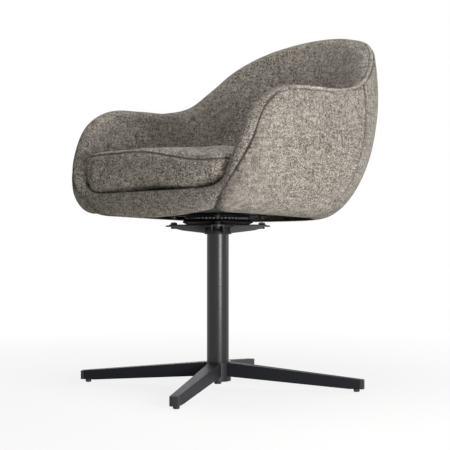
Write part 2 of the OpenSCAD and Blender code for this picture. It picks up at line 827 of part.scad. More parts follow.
// Apron under the cushion, from corner seam to corner seam and from the deck down to the board
apron_y = yf - nose_flat * roll_r + 1;
apron_t = 14;

module front_apron() {
    nv = 6;
    sag = 7;
    low_in = 14;
    nose_lift = 3;
    low_share = 0.5;
    back_share = 0.6;
    back_lift = 4;
    low_t = 3.5;
    corner_power = [12, 6];
    roll_turns = [46, 60, 75, 90];
    low_gap = 4;
    across = [0.95, 0.88, 0.7, 0.45, 0.2];
    low_turn = 25;
    end_inset = 0.25;
    function roll_k(v) = mix(last_k - end_inset, pad_last_k + 0.05, v);
    // Point on the roll in front, lowered to the seam's height towards the bottom edge
    function nose_at(v, a, share) =
        let (k = roll_k(v), p = roll_point(k, a, share))
        let (low_z = seam_at(k).z + low_gap + nose_lift * (a - low_turn) / (90 - low_turn))
        [p.x, p.y, mix(low_z, p.z, ease(v, -0.1, low_share))];
    function face_at(u, v) =
        let (e = nose_at(v, 90, 1), s = 1 - pow(u, mix(corner_power[0], corner_power[1], v)))
        let (mid_z = mix(edge_z - sag, deck_top_z - 1, v))
        let (mid_y = apron_y - 3 + low_in * pow(1 - v, 3) + 6 * pow(v, 6))
        [u * e.x, mix(e.y, mid_y, s), mix(e.z, mid_z, 1 - pow(u, mix(2, 9, v)))];
    function half_face(v) = concat([for (a = roll_turns) nose_at(v, a, 1)],
        [for (u = across) face_at(u, v)]);
    function half_back(v) = concat(
        [for (a = roll_turns) nose_at(v, a, back_share) + [0, 0, back_lift * (1 - v)]],
        [for (u = across) let (p = face_at(u, v)) [p.x, max(apron_y + apron_t, p.y + low_t), p.z]]);
    function whole(half) = let (n = len(half))
        concat(half, [for (i = [n - 1:-1:0]) [-half[i].x, half[i].y, half[i].z]]);
    color(fabric)
        between([for (v = steps(0, 1, nv)) whole(half_face(v))],
            [for (v = steps(0, 1, nv)) whole(half_back(v))]);
}

// Flat-backed welt along the rim seam, which narrows to a plain seam down the front of the arms
module rim_welt() {
    narrow_w = welt_w / 7;
    function row(k) =
        let (f = roll_frame(k), a = curve(seam_turn, abs(k), false))
        let (w = mix(welt_w / 2, narrow_w, ease(abs(k), 7.5, 9.3)))
        let (up = cos(a) * f[0] + sin(a) * f[1], out = sin(a) * f[0] - cos(a) * f[1])
        let (c = seam_at(k) + skin_gap * up)
        [c + w * out, c + 0.7 * w * out + 0.6 * w * up, c + 0.9 * w * up,
            c - 0.7 * w * out + 0.6 * w * up, c - w * out];
    function base(r) = [for (t = steps(0, 1, 4)) mix(r[0], r[4], t)];
    function top(r) = let (up = 0.15 * (r[2] - (r[0] + r[4]) / 2))
        [r[0] + up, r[1], r[2], r[3], r[4] + up];
    rows = [for (k = stations(last_k)) row(k)];
    color(fabric) between([for (r = rows) base(r)], [for (r = rows) top(r)]);
}

// Point of the padding at the height of the cushion's widest ring, by halving the interval
widest = 0.6;
function beside_cushion(k, lo = 0, hi = 1, n = 9) =
    let (p = inner_at(k, (lo + hi) / 2))
    n == 0 ? flat(p) :
        p.z > cushion_z + widest * cushion_side_t ? beside_cushion(k, (lo + hi) / 2, hi, n - 1)
            : beside_cushion(k, lo, (lo + hi) / 2, n - 1);

// Plan outline of the cushion at its seams: drawn in from the padding, bowed across the front
function cushion_ring() =
    let (last = 8.6, e = 0.05, rx = 44, bow = 3, room = cushion_gap + cushion_bulge)
    let (back = [for (k = stations(last))
        let (d = unit(beside_cushion(k + e) - beside_cushion(k - e)))
        beside_cushion(k) - room * [-d.y, d.x, 0]])
    let (q = back[len(back) - 1], ry = q.y + cushion_front)
    let (corner = [for (a = [22, 44, 66]) [q.x - rx + rx * cos(a), q.y - ry * sin(a), 0]])
    concat(back, corner,
        [for (x = steps(q.x - rx, rx - q.x, 6)) [x, -cushion_front - bow * (1 - pow(x / q.x, 2)), 0]],
        [for (i = [2:-1:0]) [-corner[i].x, corner[i].y, 0]]);

cushion_c = [0, 20, 0];

module seat_cushion() {
    base = cushion_ring();
    // One ring: scaled about the middle, raised by z and let out by b
    function ring_at(s, z, b = 0) = [for (p = base)
        let (d = p - cushion_c) cushion_c + s * d + b * unit(d) + [0, 0, cushion_z + z]];
    top_z = cushion_side_t;
    color(fabric) rings([
        ring_at(0.87, 0), ring_at(0.925, 5), ring_at(0.95, 13),
        ring_at(0.97, 0.36 * top_z, 0.5 * cushion_bulge), ring_at(1, widest * top_z, cushion_bulge),
        ring_at(1, 0.85 * top_z, 0.7 * cushion_bulge), ring_at(1, top_z),
        ring_at(0.95, top_z + 0.3 * cushion_crown), ring_at(0.85, top_z + 0.6 * cushion_crown),
        ring_at(0.66, top_z + 0.85 * cushion_crown), ring_at(0.36, top_z + 0.97 * cushion_crown)],
        cushion_c + [0, 0, cushion_z], cushion_c + [0, 0, cushion_z + top_z + cushion_crown]);
}

// Round welt in the cushion's top seam
module cushion_welt() {
    base = cushion_ring();
    n = len(base);
    r = 2.5;
    function centre(j) = let (d = base[j % n] - cushion_c)
        cushion_c + d + (r + skin_gap) * unit(d) + [0, 0, cushion_z + cushion_side_t + 1];
    points = [for (j = [0:n - 1], a = [0:60:300])
        let (d = unit(base[j] - cushion_c)) centre(j) + r * cos(a) * d + [0, 0, r * sin(a)]];
    function id(j, i) = (j % n) * 6 + i % 6;
    faces = [for (j = [0:n - 1], i = [0:5], h = [0, 1])
        h == 0 ? [id(j, i), id(j + 1, i), id(j + 1, i + 1)] : [id(j, i), id(j + 1, i + 1), id(j, i + 1)]];
    color(fabric_dark) polyhedron(points, faces, convexity = 6);
}

base_arm(0);  // base_arm_front
base_arm(1);  // base_arm_left
base_arm(2);  // base_arm_back
base_arm(3);  // base_arm_right
end_cap(0);  // end_cap_front
end_cap(1);  // end_cap_left
end_cap(2);  // end_cap_back
end_cap(3);  // end_cap_right
glide(0);  // glide_front
glide(1);  // glide_left
glide(2);  // glide_back
glide(3);  // glide_right
hub_socket();
hub_cover_ring();
column_tube();
column_end_plate();
column_bolt();
column_washer();
top_boss();
spider_plate();
spider_bolts();
spider_nuts();
lower_race_plate();
king_pin();
king_pin_washer();
king_pin_nut();
ball_cage();
bearing_balls();
upper_race();
upper_plate();
pivot_bush();
seat_bolts();
spacer_bushes();
t_nuts();
seat_board();
dust_cover();
shell_ply();
shell_screws();
seat_deck();
outer_side_left();
outer_side_right();
outer_back();
inner_pad();
front_apron();
rim_welt();
seat_cushion();
cushion_welt();
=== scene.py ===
import math

import bmesh
import bpy
import numpy as np
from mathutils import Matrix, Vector
from mathutils.bvhtree import BVHTree


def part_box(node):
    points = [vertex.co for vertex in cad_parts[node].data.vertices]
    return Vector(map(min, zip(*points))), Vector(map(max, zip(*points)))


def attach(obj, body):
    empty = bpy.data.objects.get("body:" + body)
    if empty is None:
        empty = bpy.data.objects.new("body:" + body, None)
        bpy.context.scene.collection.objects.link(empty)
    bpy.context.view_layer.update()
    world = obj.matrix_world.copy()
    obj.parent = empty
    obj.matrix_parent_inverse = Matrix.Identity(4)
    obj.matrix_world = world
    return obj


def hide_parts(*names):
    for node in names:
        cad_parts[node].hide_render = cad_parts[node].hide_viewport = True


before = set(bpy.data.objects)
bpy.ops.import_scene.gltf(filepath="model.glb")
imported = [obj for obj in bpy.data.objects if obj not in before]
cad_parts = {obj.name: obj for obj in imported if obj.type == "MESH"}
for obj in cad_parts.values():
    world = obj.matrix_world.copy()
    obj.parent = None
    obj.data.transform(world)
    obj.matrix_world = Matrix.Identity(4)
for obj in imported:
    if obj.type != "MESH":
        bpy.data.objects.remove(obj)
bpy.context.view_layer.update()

scene = bpy.context.scene
mm = .001

# The camera stands before the sitter's left arm, lower than the seat's edge, and looks slightly up
camera = {"lens": 79.0, "sensor": 36.0, "place": (1.603, -1.580, .3224), "turn": 45.0, "rise": 1.134}


# An object in the scene, and for a lamp or camera its place and the direction in which it looks
def added(name, data, place=None, look=None):
    made = bpy.data.objects.new(name, data)
    scene.collection.objects.link(made)
    if look is not None:
        made.location = place
        made.rotation_mode = "QUATERNION"
        made.rotation_quaternion = look.to_track_quat("-Z", "Y")
    return made


def placeCamera():
    turn, rise = math.radians(camera["turn"]), math.radians(camera["rise"])
    look = Vector((-math.sin(turn) * math.cos(rise), math.cos(turn) * math.cos(rise), math.sin(rise)))
    lens = bpy.data.cameras.new("photoCamera")
    lens.lens, lens.sensor_width = camera["lens"], camera["sensor"]
    lens.clip_start, lens.clip_end = .05, 60
    scene.camera = added("photoCamera", lens, camera["place"], look)


placeCamera()
print("camera is in place")


# A socket with Python's own arithmetic: an expression on wires adds the Math nodes it needs
class Wire:
    def __init__(self, bench, socket):
        self.bench, self.socket = bench, socket

    def __add__(self, other): return self.bench.math("ADD", self, other)
    def __radd__(self, other): return self.bench.math("ADD", other, self)
    def __sub__(self, other): return self.bench.math("SUBTRACT", self, other)
    def __rsub__(self, other): return self.bench.math("SUBTRACT", other, self)
    def __mul__(self, other): return self.bench.math("MULTIPLY", self, other)
    def __rmul__(self, other): return self.bench.math("MULTIPLY", other, self)


# The nodes of one material, or of a world
class Bench:
    def __init__(self, name, kind="materials"):
        self.owner = getattr(bpy.data, kind).new(name)
        self.owner.use_nodes = True
        self.tree = self.owner.node_tree
        self.tree.nodes.clear()

    # Any node: its type, its settings, the values or links of its sockets, and the output that is used
    def node(self, kind, settings=None, sockets=None, out=0):
        made = self.tree.nodes.new(kind)
        for key, value in (settings or {}).items():
            if key == "stops":
                ramp = made.color_ramp
                while len(ramp.elements) < len(value):
                    ramp.elements.new(1)
                for element, (place, colour) in zip(ramp.elements, value):
                    element.position, element.color = place, (*colour, 1)
            else:
                setattr(made, key, value)
        for key, value in (sockets or {}).items():
            if isinstance(key, int):
                socket = made.inputs[key]
            else:
                socket = next(s for s in made.inputs if s.enabled and key in (s.name, s.identifier))
            if isinstance(value, Wire):
                self.tree.links.new(value.socket, socket)
            elif hasattr(value, "__len__") and len(value) == 3 and len(socket.default_value) == 4:
                socket.default_value = (*value, 1)
            else:
                socket.default_value = value
        if isinstance(out, int):
            return Wire(self, [s for s in made.outputs if s.enabled][out])
        return Wire(self, made.outputs[out])

    # The point being shaded, in the object's own coordinates
    def place(self):
        return self.node("ShaderNodeTexCoord", out="Object")

    def part(self, vector, axis):
        return self.node("ShaderNodeSeparateXYZ", {}, {"Vector": vector}, out=axis)

    def math(self, operation, *values, clamp=False):
        settings = {"operation": operation, "use_clamp": clamp}
        return self.node("ShaderNodeMath", settings, dict(enumerate(values)))

    # Smooth 0 to 1 while a value runs from low to high
    def smooth(self, value, low, high):
        settings = {"interpolation_type": "SMOOTHSTEP"}
        return self.node("ShaderNodeMapRange", settings, {"Value": value, "From Min": low, "From Max": high})

    def mix(self, factor, first, second, blend="MIX"):
        settings = {"data_type": "RGBA", "blend_type": blend}
        return self.node("ShaderNodeMix", settings, {"Factor": factor, "A": first, "B": second})

    def ramp(self, factor, *stops):
        return self.node("ShaderNodeValToRGB", {"stops": stops}, {"Fac": factor})

    def noise(self, vector, scale, detail=2.0, roughness=.5, stretch=(1, 1, 1)):
        fitted = self.node("ShaderNodeMapping", {}, {"Vector": vector, "Scale": stretch})
        values = {"Vector": fitted, "Scale": scale, "Detail": detail, "Roughness": roughness}
        return self.node("ShaderNodeTexNoise", {}, values)

    def bump(self, height, distance, strength):
        values = {"Height": height, "Distance": distance, "Strength": strength}
        return self.node("ShaderNodeBump", {}, values)

    def surface(self, **values):
        sockets = {key.replace("_", " "): value for key, value in values.items()}
        return self.finish(self.node("ShaderNodeBsdfPrincipled", {}, sockets))

    def finish(self, shader, kind="ShaderNodeOutputMaterial"):
        out = self.tree.nodes.new(kind)
        self.tree.links.new(shader.socket, out.inputs["Surface"])
        return self.owner


# Coarse melange cloth: warp and weft yarns of mixed light and dark fibres, with slubs along them
clothLook = {
    "pitch": .0016,           # one yarn
    "run": 120.0,             # colour changes along a yarn, per metre
    "wander": .0012,          # how far a yarn strays
    "dark": (.050, .044, .036),
    "middle": (.226, .204, .173),
    "light": (.580, .528, .450),
    # colour of the painted shade that the seam attribute draws into grooves and crevices
    "seam": (.022, .019, .016),
    "grain": {"fibre": .4, "fleck": .52, "slub": .5, "rib": .38, "knot": .5, "less": .655},
    "relief": .0016,
    "sheen": .14,
}


# The last argument brightens the whole cloth as painted light; 1 paints none
def clothMaterial(name, look, paintedLight=1.0):
    b = Bench(name)
    cloth = b.node("ShaderNodeUVMap", {"uv_map": "cloth"})
    place = b.place()
    stray = (b.noise(cloth, 160, 1) - .5) * look["wander"]
    u, v = b.part(cloth, "X") + stray, b.part(cloth, "Y") + stray
    across, along = u * (1 / look["pitch"]), v * (1 / look["pitch"])
    column, row = b.math("FLOOR", across), b.math("FLOOR", along)
    over = b.math("PINGPONG", column + row, 1.0)

    def spot(x, y):
        return b.node("ShaderNodeCombineXYZ", {}, {"X": x, "Y": y, "Z": 0.0})

    warp = b.noise(spot(column * 7.31, v * look["run"]), 1.0, 1)
    weft = b.noise(spot(u * look["run"], row * 5.17 + 90.0), 1.0, 1)
    fibre = warp * over + weft * (1.0 - over)
    fleck = b.node("ShaderNodeTexWhiteNoise", {"noise_dimensions": "2D"}, {"Vector": spot(column, row)})
    slub = b.noise(place, 42, 3, .55, (1, 1, 4.5))
    rib = b.noise(place, 36, 3, .55, (4.5, 4.5, 1))
    knot = b.noise(place, 820, 2, .6, (1, 1, 1.4))
    cloud = b.noise(place, 15, 2)
    mix = look["grain"]
    grain = fibre * mix["fibre"] + fleck * mix["fleck"] + slub * mix["slub"] + rib * mix["rib"] + knot * mix["knot"]
    grain = grain - mix["less"]
    colour = b.ramp(grain, (.24, look["dark"]), (.48, look["middle"]), (.80, look["light"]))
    # random broad tone from the cloud, times the painted light
    shade = (cloud * .3 + .85) * paintedLight
    shadeColour = b.node("ShaderNodeCombineColor", {}, {"Red": shade, "Green": shade, "Blue": shade})
    colour = b.mix(1.0, colour, shadeColour, "MULTIPLY")
    # Painted shade: the seam attribute darkens the colour towards the seam colour in grooves and crevices
    seam = b.node("ShaderNodeAttribute", {"attribute_name": "seam"}, out="Fac")
    colour = b.mix(seam * .82, colour, look["seam"])
    dome = b.math("SINE", across * math.pi) * b.math("SINE", along * math.pi)
    height = b.math("ABSOLUTE", dome) * .45 + knot * .9 + slub * .35 + fleck * .2
    normal = b.bump(height, look["relief"], .75)
    return b.surface(Base_Color=colour, Roughness=.86 + knot * .12, Normal=normal, Sheen_Weight=look["sheen"],
                     Sheen_Roughness=.45, Sheen_Tint=(.95, .92, .88), Specular_IOR_Level=.12)


# Powder coat: fine orange peel, a lighter mottle, faint scuffs
coatLook = {
    "base": {"colour": (.0135, .014, .0175), "roughness": .5, "specular": .09},
    "column": {"colour": (.0145, .013, .0125), "roughness": .33, "specular": .36},
    "spider": {"colour": (.021, .020, .020), "roughness": .36, "specular": .4},
    "boss": {"colour": (.008, .0075, .007), "roughness": .46, "specular": .25},
    "plate": {"colour": (.0025, .0025, .0025), "roughness": .5, "specular": .06},
}


def coatMaterial(name, look):
    b = Bench(name)
    place = b.place()
    peel = b.noise(place, 900, 2, .55)
    mottle = b.noise(place, 24, 3, .6)
    scuff = b.smooth(b.noise(place, 130, 4, .7, (1, 1, 3)), .66, .74)
    paint = look["colour"]
    colour = b.mix(mottle * .35, paint, tuple(c * 1.35 for c in paint))
    colour = b.mix(scuff * .28, colour, tuple(c * 2.3 for c in paint))
    rough = look["roughness"] + mottle * .1 - .05 + scuff * .12
    normal = b.bump(peel, .00012, .5)
    return b.surface(Base_Color=colour, Roughness=rough, Normal=normal, Specular_IOR_Level=look["specular"])


# Moulded black plastic with a fine spark-eroded grain
def plasticMaterial(name, colour, roughness, grainSize):
    b = Bench(name)
    place = b.place()
    grain = b.noise(place, grainSize, 2, .6)
    rub = b.smooth(b.noise(place, 60, 3, .65), .55, .8)
    colour = b.mix(rub * .35, colour, tuple(c * 1.8 + .004 for c in colour))
    normal = b.bump(grain, .00018, .6)
    return b.surface(Base_Color=colour, Roughness=roughness + rub * .1, Normal=normal, Specular_IOR_Level=.45)


# Bare or plated steel with fine turning marks round the swivel axis
def steelMaterial(name, colour, roughness, metallic=1.0):
    b = Bench(name)
    place = b.place()
    marks = b.noise(place, 300, 2, .6, (1, 1, 9))
    stain = b.noise(place, 45, 3, .6)
    tint = b.mix(stain * .5, colour, tuple(c * .62 for c in colour))
    normal = b.bump(marks, .00008, .5)
    rough = roughness + marks * .12 + stain * .08
    return b.surface(Base_Color=tint, Roughness=rough, Normal=normal, Metallic=metallic)


# Birch plywood: pale face grain, and thin dark glue lines on the edges. stain darkens it from 0 to 1
def plywoodMaterial(name, stain=0.0):
    b = Bench(name)
    place = b.place()
    ring = b.noise(place, 38, 4, .6, (1, 9, 1))
    pore = b.smooth(b.noise(place, 420, 2, .5, (1, 9, 1)), .6, .72)
    glue = b.smooth(b.math("PINGPONG", b.part(place, "Z") * 700.0, .5), .42, .48)
    colour = b.ramp(ring, (.3, (.46, .30, .16)), (.7, (.68, .49, .29)))
    colour = b.mix(pore * .35, colour, (.24, .14, .07))
    colour = b.mix(glue * .4, colour, (.16, .09, .045))
    colour = b.mix(stain, colour, (.012, .011, .010))
    normal = b.bump(ring + pore, .0002, .4)
    return b.surface(Base_Color=colour, Roughness=.62 + pore * .1, Normal=normal)


# Black non-woven lining: pressed fibres with a small point-bond pattern
def liningMaterial(name):
    b = Bench(name)
    place = b.place()
    fibre = b.noise(place, 420, 3, .7)
    bond = b.node("ShaderNodeTexVoronoi", {"feature": "F1"}, {"Vector": place, "Scale": 420.0}, out="Distance")
    colour = b.ramp(fibre, (.3, (.010, .010, .011)), (.75, (.036, .035, .036)))
    normal = b.bump(fibre + b.smooth(bond, .1, .35) * .6, .0004, .6)
    return b.surface(Base_Color=colour, Roughness=.88 + fibre * .08, Normal=normal, Specular_IOR_Level=.25)


finishes = {
    "cloth": clothMaterial("coverCloth", clothLook),
    # The welt, the piping and the cushion take the same cloth painted lighter: painted light
    "weltClothPaintedLight": clothMaterial("weltClothPaintedLight", clothLook, 1.28),
    "cushionClothPaintedLight": clothMaterial("cushionClothPaintedLight", clothLook, 1.23),
    **{name: coatMaterial(name + "Coat", look) for name, look in coatLook.items()},
    "cap": plasticMaterial("capPlastic", (.009, .009, .010), .62, 1500),
    "glide": plasticMaterial("glidePlastic", (.011, .011, .012), .5, 1100),
    "nylon": plasticMaterial("bushNylon", (.62, .60, .54), .45, 900),
    "zinc": steelMaterial("zincSteel", (.62, .62, .60), .32),
    "dark": steelMaterial("boltSteel", (.035, .034, .034), .42),
    "ball": steelMaterial("ballSteel", (.93, .93, .92), .2, .3),
    "ply": plywoodMaterial("birchPly"),
    "board": plywoodMaterial("stainedPly", .94),
    "lining": liningMaterial("underLining"),
}
print("materials are made")

# Which finish each rigid node takes, and the width of its rounded edges in millimetres
ways = ["front", "left", "back", "right"]
rigidNodes = {
    "base": (["base_arm_" + way for way in ways], 1.1),
    "cap": (["end_cap_" + way for way in ways], .9),
    "glide": (["glide_" + way for way in ways], 0),
    "column": (["column_tube", "hub_cover_ring", "hub_socket"], 0),
    "spider": (["spider_plate"], .7),
    "boss": (["top_boss"], .7),
    "plate": (["lower_race_plate", "upper_race", "upper_plate", "spacer_bushes", "ball_cage"], 0),
    "dark": (["spider_bolts", "spider_nuts", "seat_bolts", "column_bolt"], 0),
    "zinc": (["column_end_plate", "column_washer", "king_pin", "king_pin_washer", "king_pin_nut",
              "t_nuts", "shell_screws"], 0),
    "ball": (["bearing_balls"], 0),
    "nylon": (["pivot_bush"], 0),
    "ply": (["shell_ply"], 0),
    "board": (["seat_board"], 0),
    "lining": (["dust_cover"], 0),
}


def finishRigidNodes():
    for finish, (names, rounding) in rigidNodes.items():
        for name in names:
            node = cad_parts[name]
            if not node.material_slots:
                node.data.materials.append(finishes[finish])
            for slot in node.material_slots:
                slot.material = finishes[finish]
            if rounding:
                weld = node.modifiers.new("weld", "WELD")
                weld.merge_threshold = .00001
                bevel = node.modifiers.new("bevel", "BEVEL")
                bevel.width, bevel.segments = rounding * mm, 3
                bevel.limit_method, bevel.angle_limit = "ANGLE", math.radians(35)
                bevel.harden_normals = True


finishRigidNodes()
print("rigid nodes are finished")

# The seat shell, in millimetres. A station runs from 0 at the middle of the back to 12 at the front
# corner under an arm, and its sign gives the side, with plus at the sitter's left.
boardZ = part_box("seat_board")[0].z / mm
shell = {
    "width": 604.0, "crestRise": 442.0, "armRise": 259.0, "backReach": 363.0, "frontReach": 215.0,
    "rollThick": 50.0, "edgeDrop": 4.0, "edgeSlope": .029, "footWidth": 400.0, "footBack": 200.0,
    "footFront": 194.0, "noseFlat": .88, "boardThick": 12.0, "deckThick": 32.0,
}
rollR = shell["rollThick"] / 2
hx = shell["width"] / 2 - rollR
yb = shell["backReach"] - rollR
yf = shell["noseFlat"] * rollR - shell["frontReach"]
crestZ = boardZ + shell["crestRise"] - shell["noseFlat"] * rollR
armZ = boardZ + shell["armRise"] - shell["noseFlat"] * rollR
edgeZ = boardZ - shell["edgeDrop"]
deckTopZ = boardZ + shell["boardThick"] + shell["deckThick"]
padZ = deckTopZ + .3
footX = shell["footWidth"] / 2
seatX = hx - rollR - 22
fb, ff = shell["footBack"], shell["footFront"]
lastK, seamK, padLastK = 12.0, 4.0, 10.25


def between(a, b, t):
    return a + (b - a) * t


# Smooth 0 to 1 while x runs from low to high
def eased(x, low, high):
    t = np.clip((x - low) / (high - low), 0, 1)
    return t * t * (3 - 2 * t)


def unit(v):
    return v / np.linalg.norm(v, axis=-1, keepdims=True)


# A vector straight up of each length
def upright(length):
    return length[..., None] * [0, 0, 1]


# Lines that the shell is built on: the roll's centre, the outer cover's foot, the padding's foot
rollLine = [[0, yb, crestZ], [.415 * hx, yb - 13, crestZ - 12], [.722 * hx, yb - 48, crestZ - 48],
            [.888 * hx, yb - 98, between(armZ, crestZ, .415)], [.968 * hx, yb - 162, between(armZ, crestZ, .137)],
            [hx, yb - 246, armZ + 4], [hx, yb - 338, armZ], [hx, yf + 108, armZ - 7], [hx - 4, yf + 48, armZ - 42],
            [hx - 10, yf + 15, between(edgeZ, armZ, .56)], [hx - 25, yf, between(edgeZ, armZ, .315)],
            [hx - 49, yf, edgeZ + 33], [hx - 81, yf + 13, edgeZ + 7]]
footLine = [[0, fb, 0], [.35 * footX, fb - 4, 0], [.66 * footX, fb - 28, 0], [.86 * footX, fb - 68, 0],
            [.96 * footX, fb - 115, 0], [.99 * footX, fb - 165, 0], [footX, fb - 220, 0], [footX, 124 - ff, 0],
            [footX, 84 - ff, 0], [footX - 1, 54 - ff, 0], [footX - 4, 32 - ff, 0], [footX - 9, 14 - ff, 0],
            [footX - 16, -ff, 0]]
innerLine = [[0, yb - 82, 0], [.36 * seatX, yb - 92, 0], [.67 * seatX, yb - 125, 0], [.87 * seatX, yb - 177, 0],
             [.975 * seatX, yb - 230, 0], [seatX + 1, yb - 285, 0], [seatX + 1, yb - 346, 0],
             [seatX, yf + 124, 0], [seatX - 1, yf + 82, 0], [seatX - 2, yf + 50, 0], [seatX - 8, yf + 22, 0],
             [seatX - 14, yf + 6, 0], [seatX - 20, yf - 2, 0]]
turns = [0, 18, 42, 66, 82, 89, 90, 90, 92, 94, 100, 112, 130]
tucks = [142, 135, 118, 104, 100, 98, 95, 90, 85, 70, 45, 22, 8]
bulges = [34, 33, 30, 28, 28, 25, 20, 18, 14, 10, 6, 2, 1]
drops = [220, 210, 175, 150, 135, 130, 120, 110, 80, 50, 20, 6, 2]
seamTurns = [55, 55, 55, 55, 55, 55, 55, 50, 36, 26, 25, 25, 25]
rollShares = [1, 1, 1, 1, 1, 1, 1, 1, 1, 1, 1, .88, .64]


# Catmull-Rom curve through a list. Before its first point comes the second one again, or its mirror
def curve(values, u, mirrored=False):
    v = np.asarray(values, float)
    v = v.reshape(len(v), -1)
    u = np.clip(np.asarray(u, float), 0, len(v) - 1)
    i = np.minimum(np.floor(u).astype(int), len(v) - 2)
    t = (u - i)[..., None]
    p1, p2, p3 = v[i], v[i + 1], v[np.minimum(i + 2, len(v) - 1)]
    first = p2 * [-1, 1, 1] if mirrored else p2
    p0 = np.where((i > 0)[..., None], v[np.maximum(i - 1, 0)], first)
    return (2 * p1 + (p2 - p0) * t + (2 * p0 - 5 * p1 + 4 * p2 - p3) * t**2
            + (3 * p1 - p0 - 3 * p2 + p3) * t**3) / 2


def number(values, k):
    return curve(values, np.abs(k))[..., 0]


def sided(line, k):
    p = curve(line, np.abs(k), True)
    p[..., 0] *= np.where(np.asarray(k) < 0, -1, 1)
    return p


def rollAt(k):
    return sided(rollLine, k)


def outward(k):
    a = np.radians(np.sign(k) * number(turns, k))
    return np.stack([np.sin(a), np.cos(a), np.zeros_like(a)], -1)


def footAt(k):
    p = sided(footLine, k)
    p[..., 2] = edgeZ - shell["edgeSlope"] * (p[..., 1] + ff)
    return p


# Outward and upward unit vectors across the roll at a station
def rollFrame(k):
    t = unit(rollAt(k + .02) - rollAt(k - .02))
    o = outward(k)
    n = unit(o - np.sum(o * t, -1, keepdims=True) * t)
    return n, np.cross(t, n)


# Point on the roll at an angle from its outer side: an ellipse a little flatter than it is thick
def rollPoint(k, degrees):
    n, up = rollFrame(k)
    r = (rollR * number(rollShares, k))[..., None]
    a = np.radians(degrees)[..., None]
    return rollAt(k) + r * np.cos(a) * n + shell["noseFlat"] * r * np.sin(a) * up


def seamAt(k):
    return rollPoint(k, number(seamTurns, k))


def bezier(a, b, c, d, t):
    t = t[..., None]
    return (1 - t)**3 * a + 3 * (1 - t)**2 * t * b + 3 * (1 - t) * t**2 * c + t**3 * d


# Outer surface: a cubic curve up from the foot line, bulging outwards, to the rim seam at t = 1
def outerAt(k, t):
    a, d, o = footAt(k), seamAt(k), outward(k)
    low = a + number(tucks, k)[..., None] * o
    high = d + number(bulges, k)[..., None] * o - upright(number(drops, k))
    return bezier(a, low, high, d, t)


# Where the inner surface leaves the roll: on its inner side, but nearer its top in the back corners
flare = {"from": .6, "full": 2.6, "fullTo": 4.2, "to": 6.2, "degrees": 44.0, "reach": .19}


def flareAt(k):
    a = np.abs(k)
    return eased(a, flare["from"], flare["full"]) * (1 - eased(a, flare["fullTo"], flare["to"]))


def leaveAt(k):
    return 180 - flare["degrees"] * flareAt(k)


# Inner surface: a cubic curve from the roll's inner side at t = 0 down to the deck
def innerAt(k, t):
    turn = leaveAt(k)
    a, p, o = rollPoint(k, turn), sided(innerLine, k), outward(k)
    n, up = rollFrame(k)
    d = np.stack([p[..., 0], p[..., 1], np.full_like(k, padZ)], -1)
    h = a[..., 2] - d[..., 2]
    down = upright(.35 * h)
    lean = 10 * np.minimum(1, h / 100)[..., None]
    r = np.radians(turn)[..., None]
    along = (flare["reach"] * h)[..., None] * (np.cos(r) * up - np.sin(r) * n)
    handle = between(-down - 4 * o, along, flareAt(k)[..., None])
    return bezier(a, a + handle, d + down + lean * o, d, t)


# Flat welt on the rim seam: it sits a little higher on the roll in the back corners, and runs out to a plain
# seam down the arm's front
weltLook = {"half": 4.2, "thin": .7, "fade": (6.6, 7.7), "rise": 3.4, "higher": 20.0, "inward": 56.0,
            "inFrom": 8.6, "inTo": 11.0, "soft": .6, "end": 11.2, "sunk": .9, "deep": 4.6, "overlap": .7, "wall": 1.5}


def weltThin(k):
    return eased(np.abs(k), *weltLook["fade"])


def weltHalf(k):
    return between(weltLook["half"], weltLook["thin"], weltThin(k))


def weltTurn(k):
    look, a = weltLook, np.abs(k)
    inward = look["inward"] * eased(a, look["inFrom"], look["inTo"]) * (1 - eased(a, look["inTo"], lastK - .1))
    return number(seamTurns, k) + look["higher"] * flareAt(k) + inward


# Lower front corners: stations between which seams fade, their painted shade fades, the edge rises and the wall thins
cornerLook = {"seam": (10.1, 10.9), "shade": (9.8, 10.8), "rise": (10.0, 12.0), "lift": 6.5, "wall": (11.1, 11.5),
              "thinner": .9, "weltSink": 4.0, "weltDown": (10.0, 10.9)}


# How deep a seam is drawn in: it fades out at the lower front corners, which are lifted into a round edge
def seamStrength(k):
    return 1 - eased(np.abs(k), *cornerLook["seam"])


# How dark the painted shade along a seam is: softer along the wide welt, and gone before the corner
def seamShade(k):
    return between(weltLook["soft"], 1, weltThin(k)) * (1 - eased(np.abs(k), *cornerLook["shade"]))


# 1 at the front corner's end, 0 from a little way up the arm
def cornerShare(k):
    return 1 - eased((lastK - np.abs(k)) / (lastK - padLastK), -.1, .5)


def cornerLift(k):
    return cornerLook["lift"] * eased(np.abs(k), *cornerLook["rise"])


# Point on the roll, lowered at the front corner to the height of the cover's own end
def rimPoint(k, degrees):
    p = rollPoint(k, degrees)
    low = seamAt(k)[..., 2] + .03 * (degrees - 25)
    p[..., 2] = between(p[..., 2], low, cornerShare(k))
    return p


# Samples from a to b, with fine steps near the ends that are seams
def spread(a, b, step, fine, reachA=0.0, reachB=0.0):
    parts = [a + reachA * np.linspace(0, 1, max(2, round(reachA / fine)))[:-1]] if reachA else []
    count = max(2, round((b - reachB - a - reachA) / step))
    parts.append(np.linspace(a + reachA, b - reachB, count))
    if reachB:
        parts.append(b - reachB * np.linspace(1, 0, max(2, round(reachB / fine)))[1:])
    return np.concatenate(parts)


# Running length over a grid along one axis
def lengths(points, axis):
    step = np.linalg.norm(np.diff(points, axis=axis), axis=-1)
    return np.concatenate([np.zeros_like(np.take(step, [0], axis)), np.cumsum(step, axis)], axis)


# Unit normals of a grid: row direction cross column direction, which is the side that is seen
def gridNormals(points):
    return unit(np.cross(np.gradient(points, axis=0), np.gradient(points, axis=1)))


# How far an edge lies below the surface at a distance from it: a quarter round of some width and depth
def edgeDip(distance, width, depth):
    x = np.clip(1 - distance / width, 0, 1)
    return depth * (1 - np.sqrt(1 - x * x))


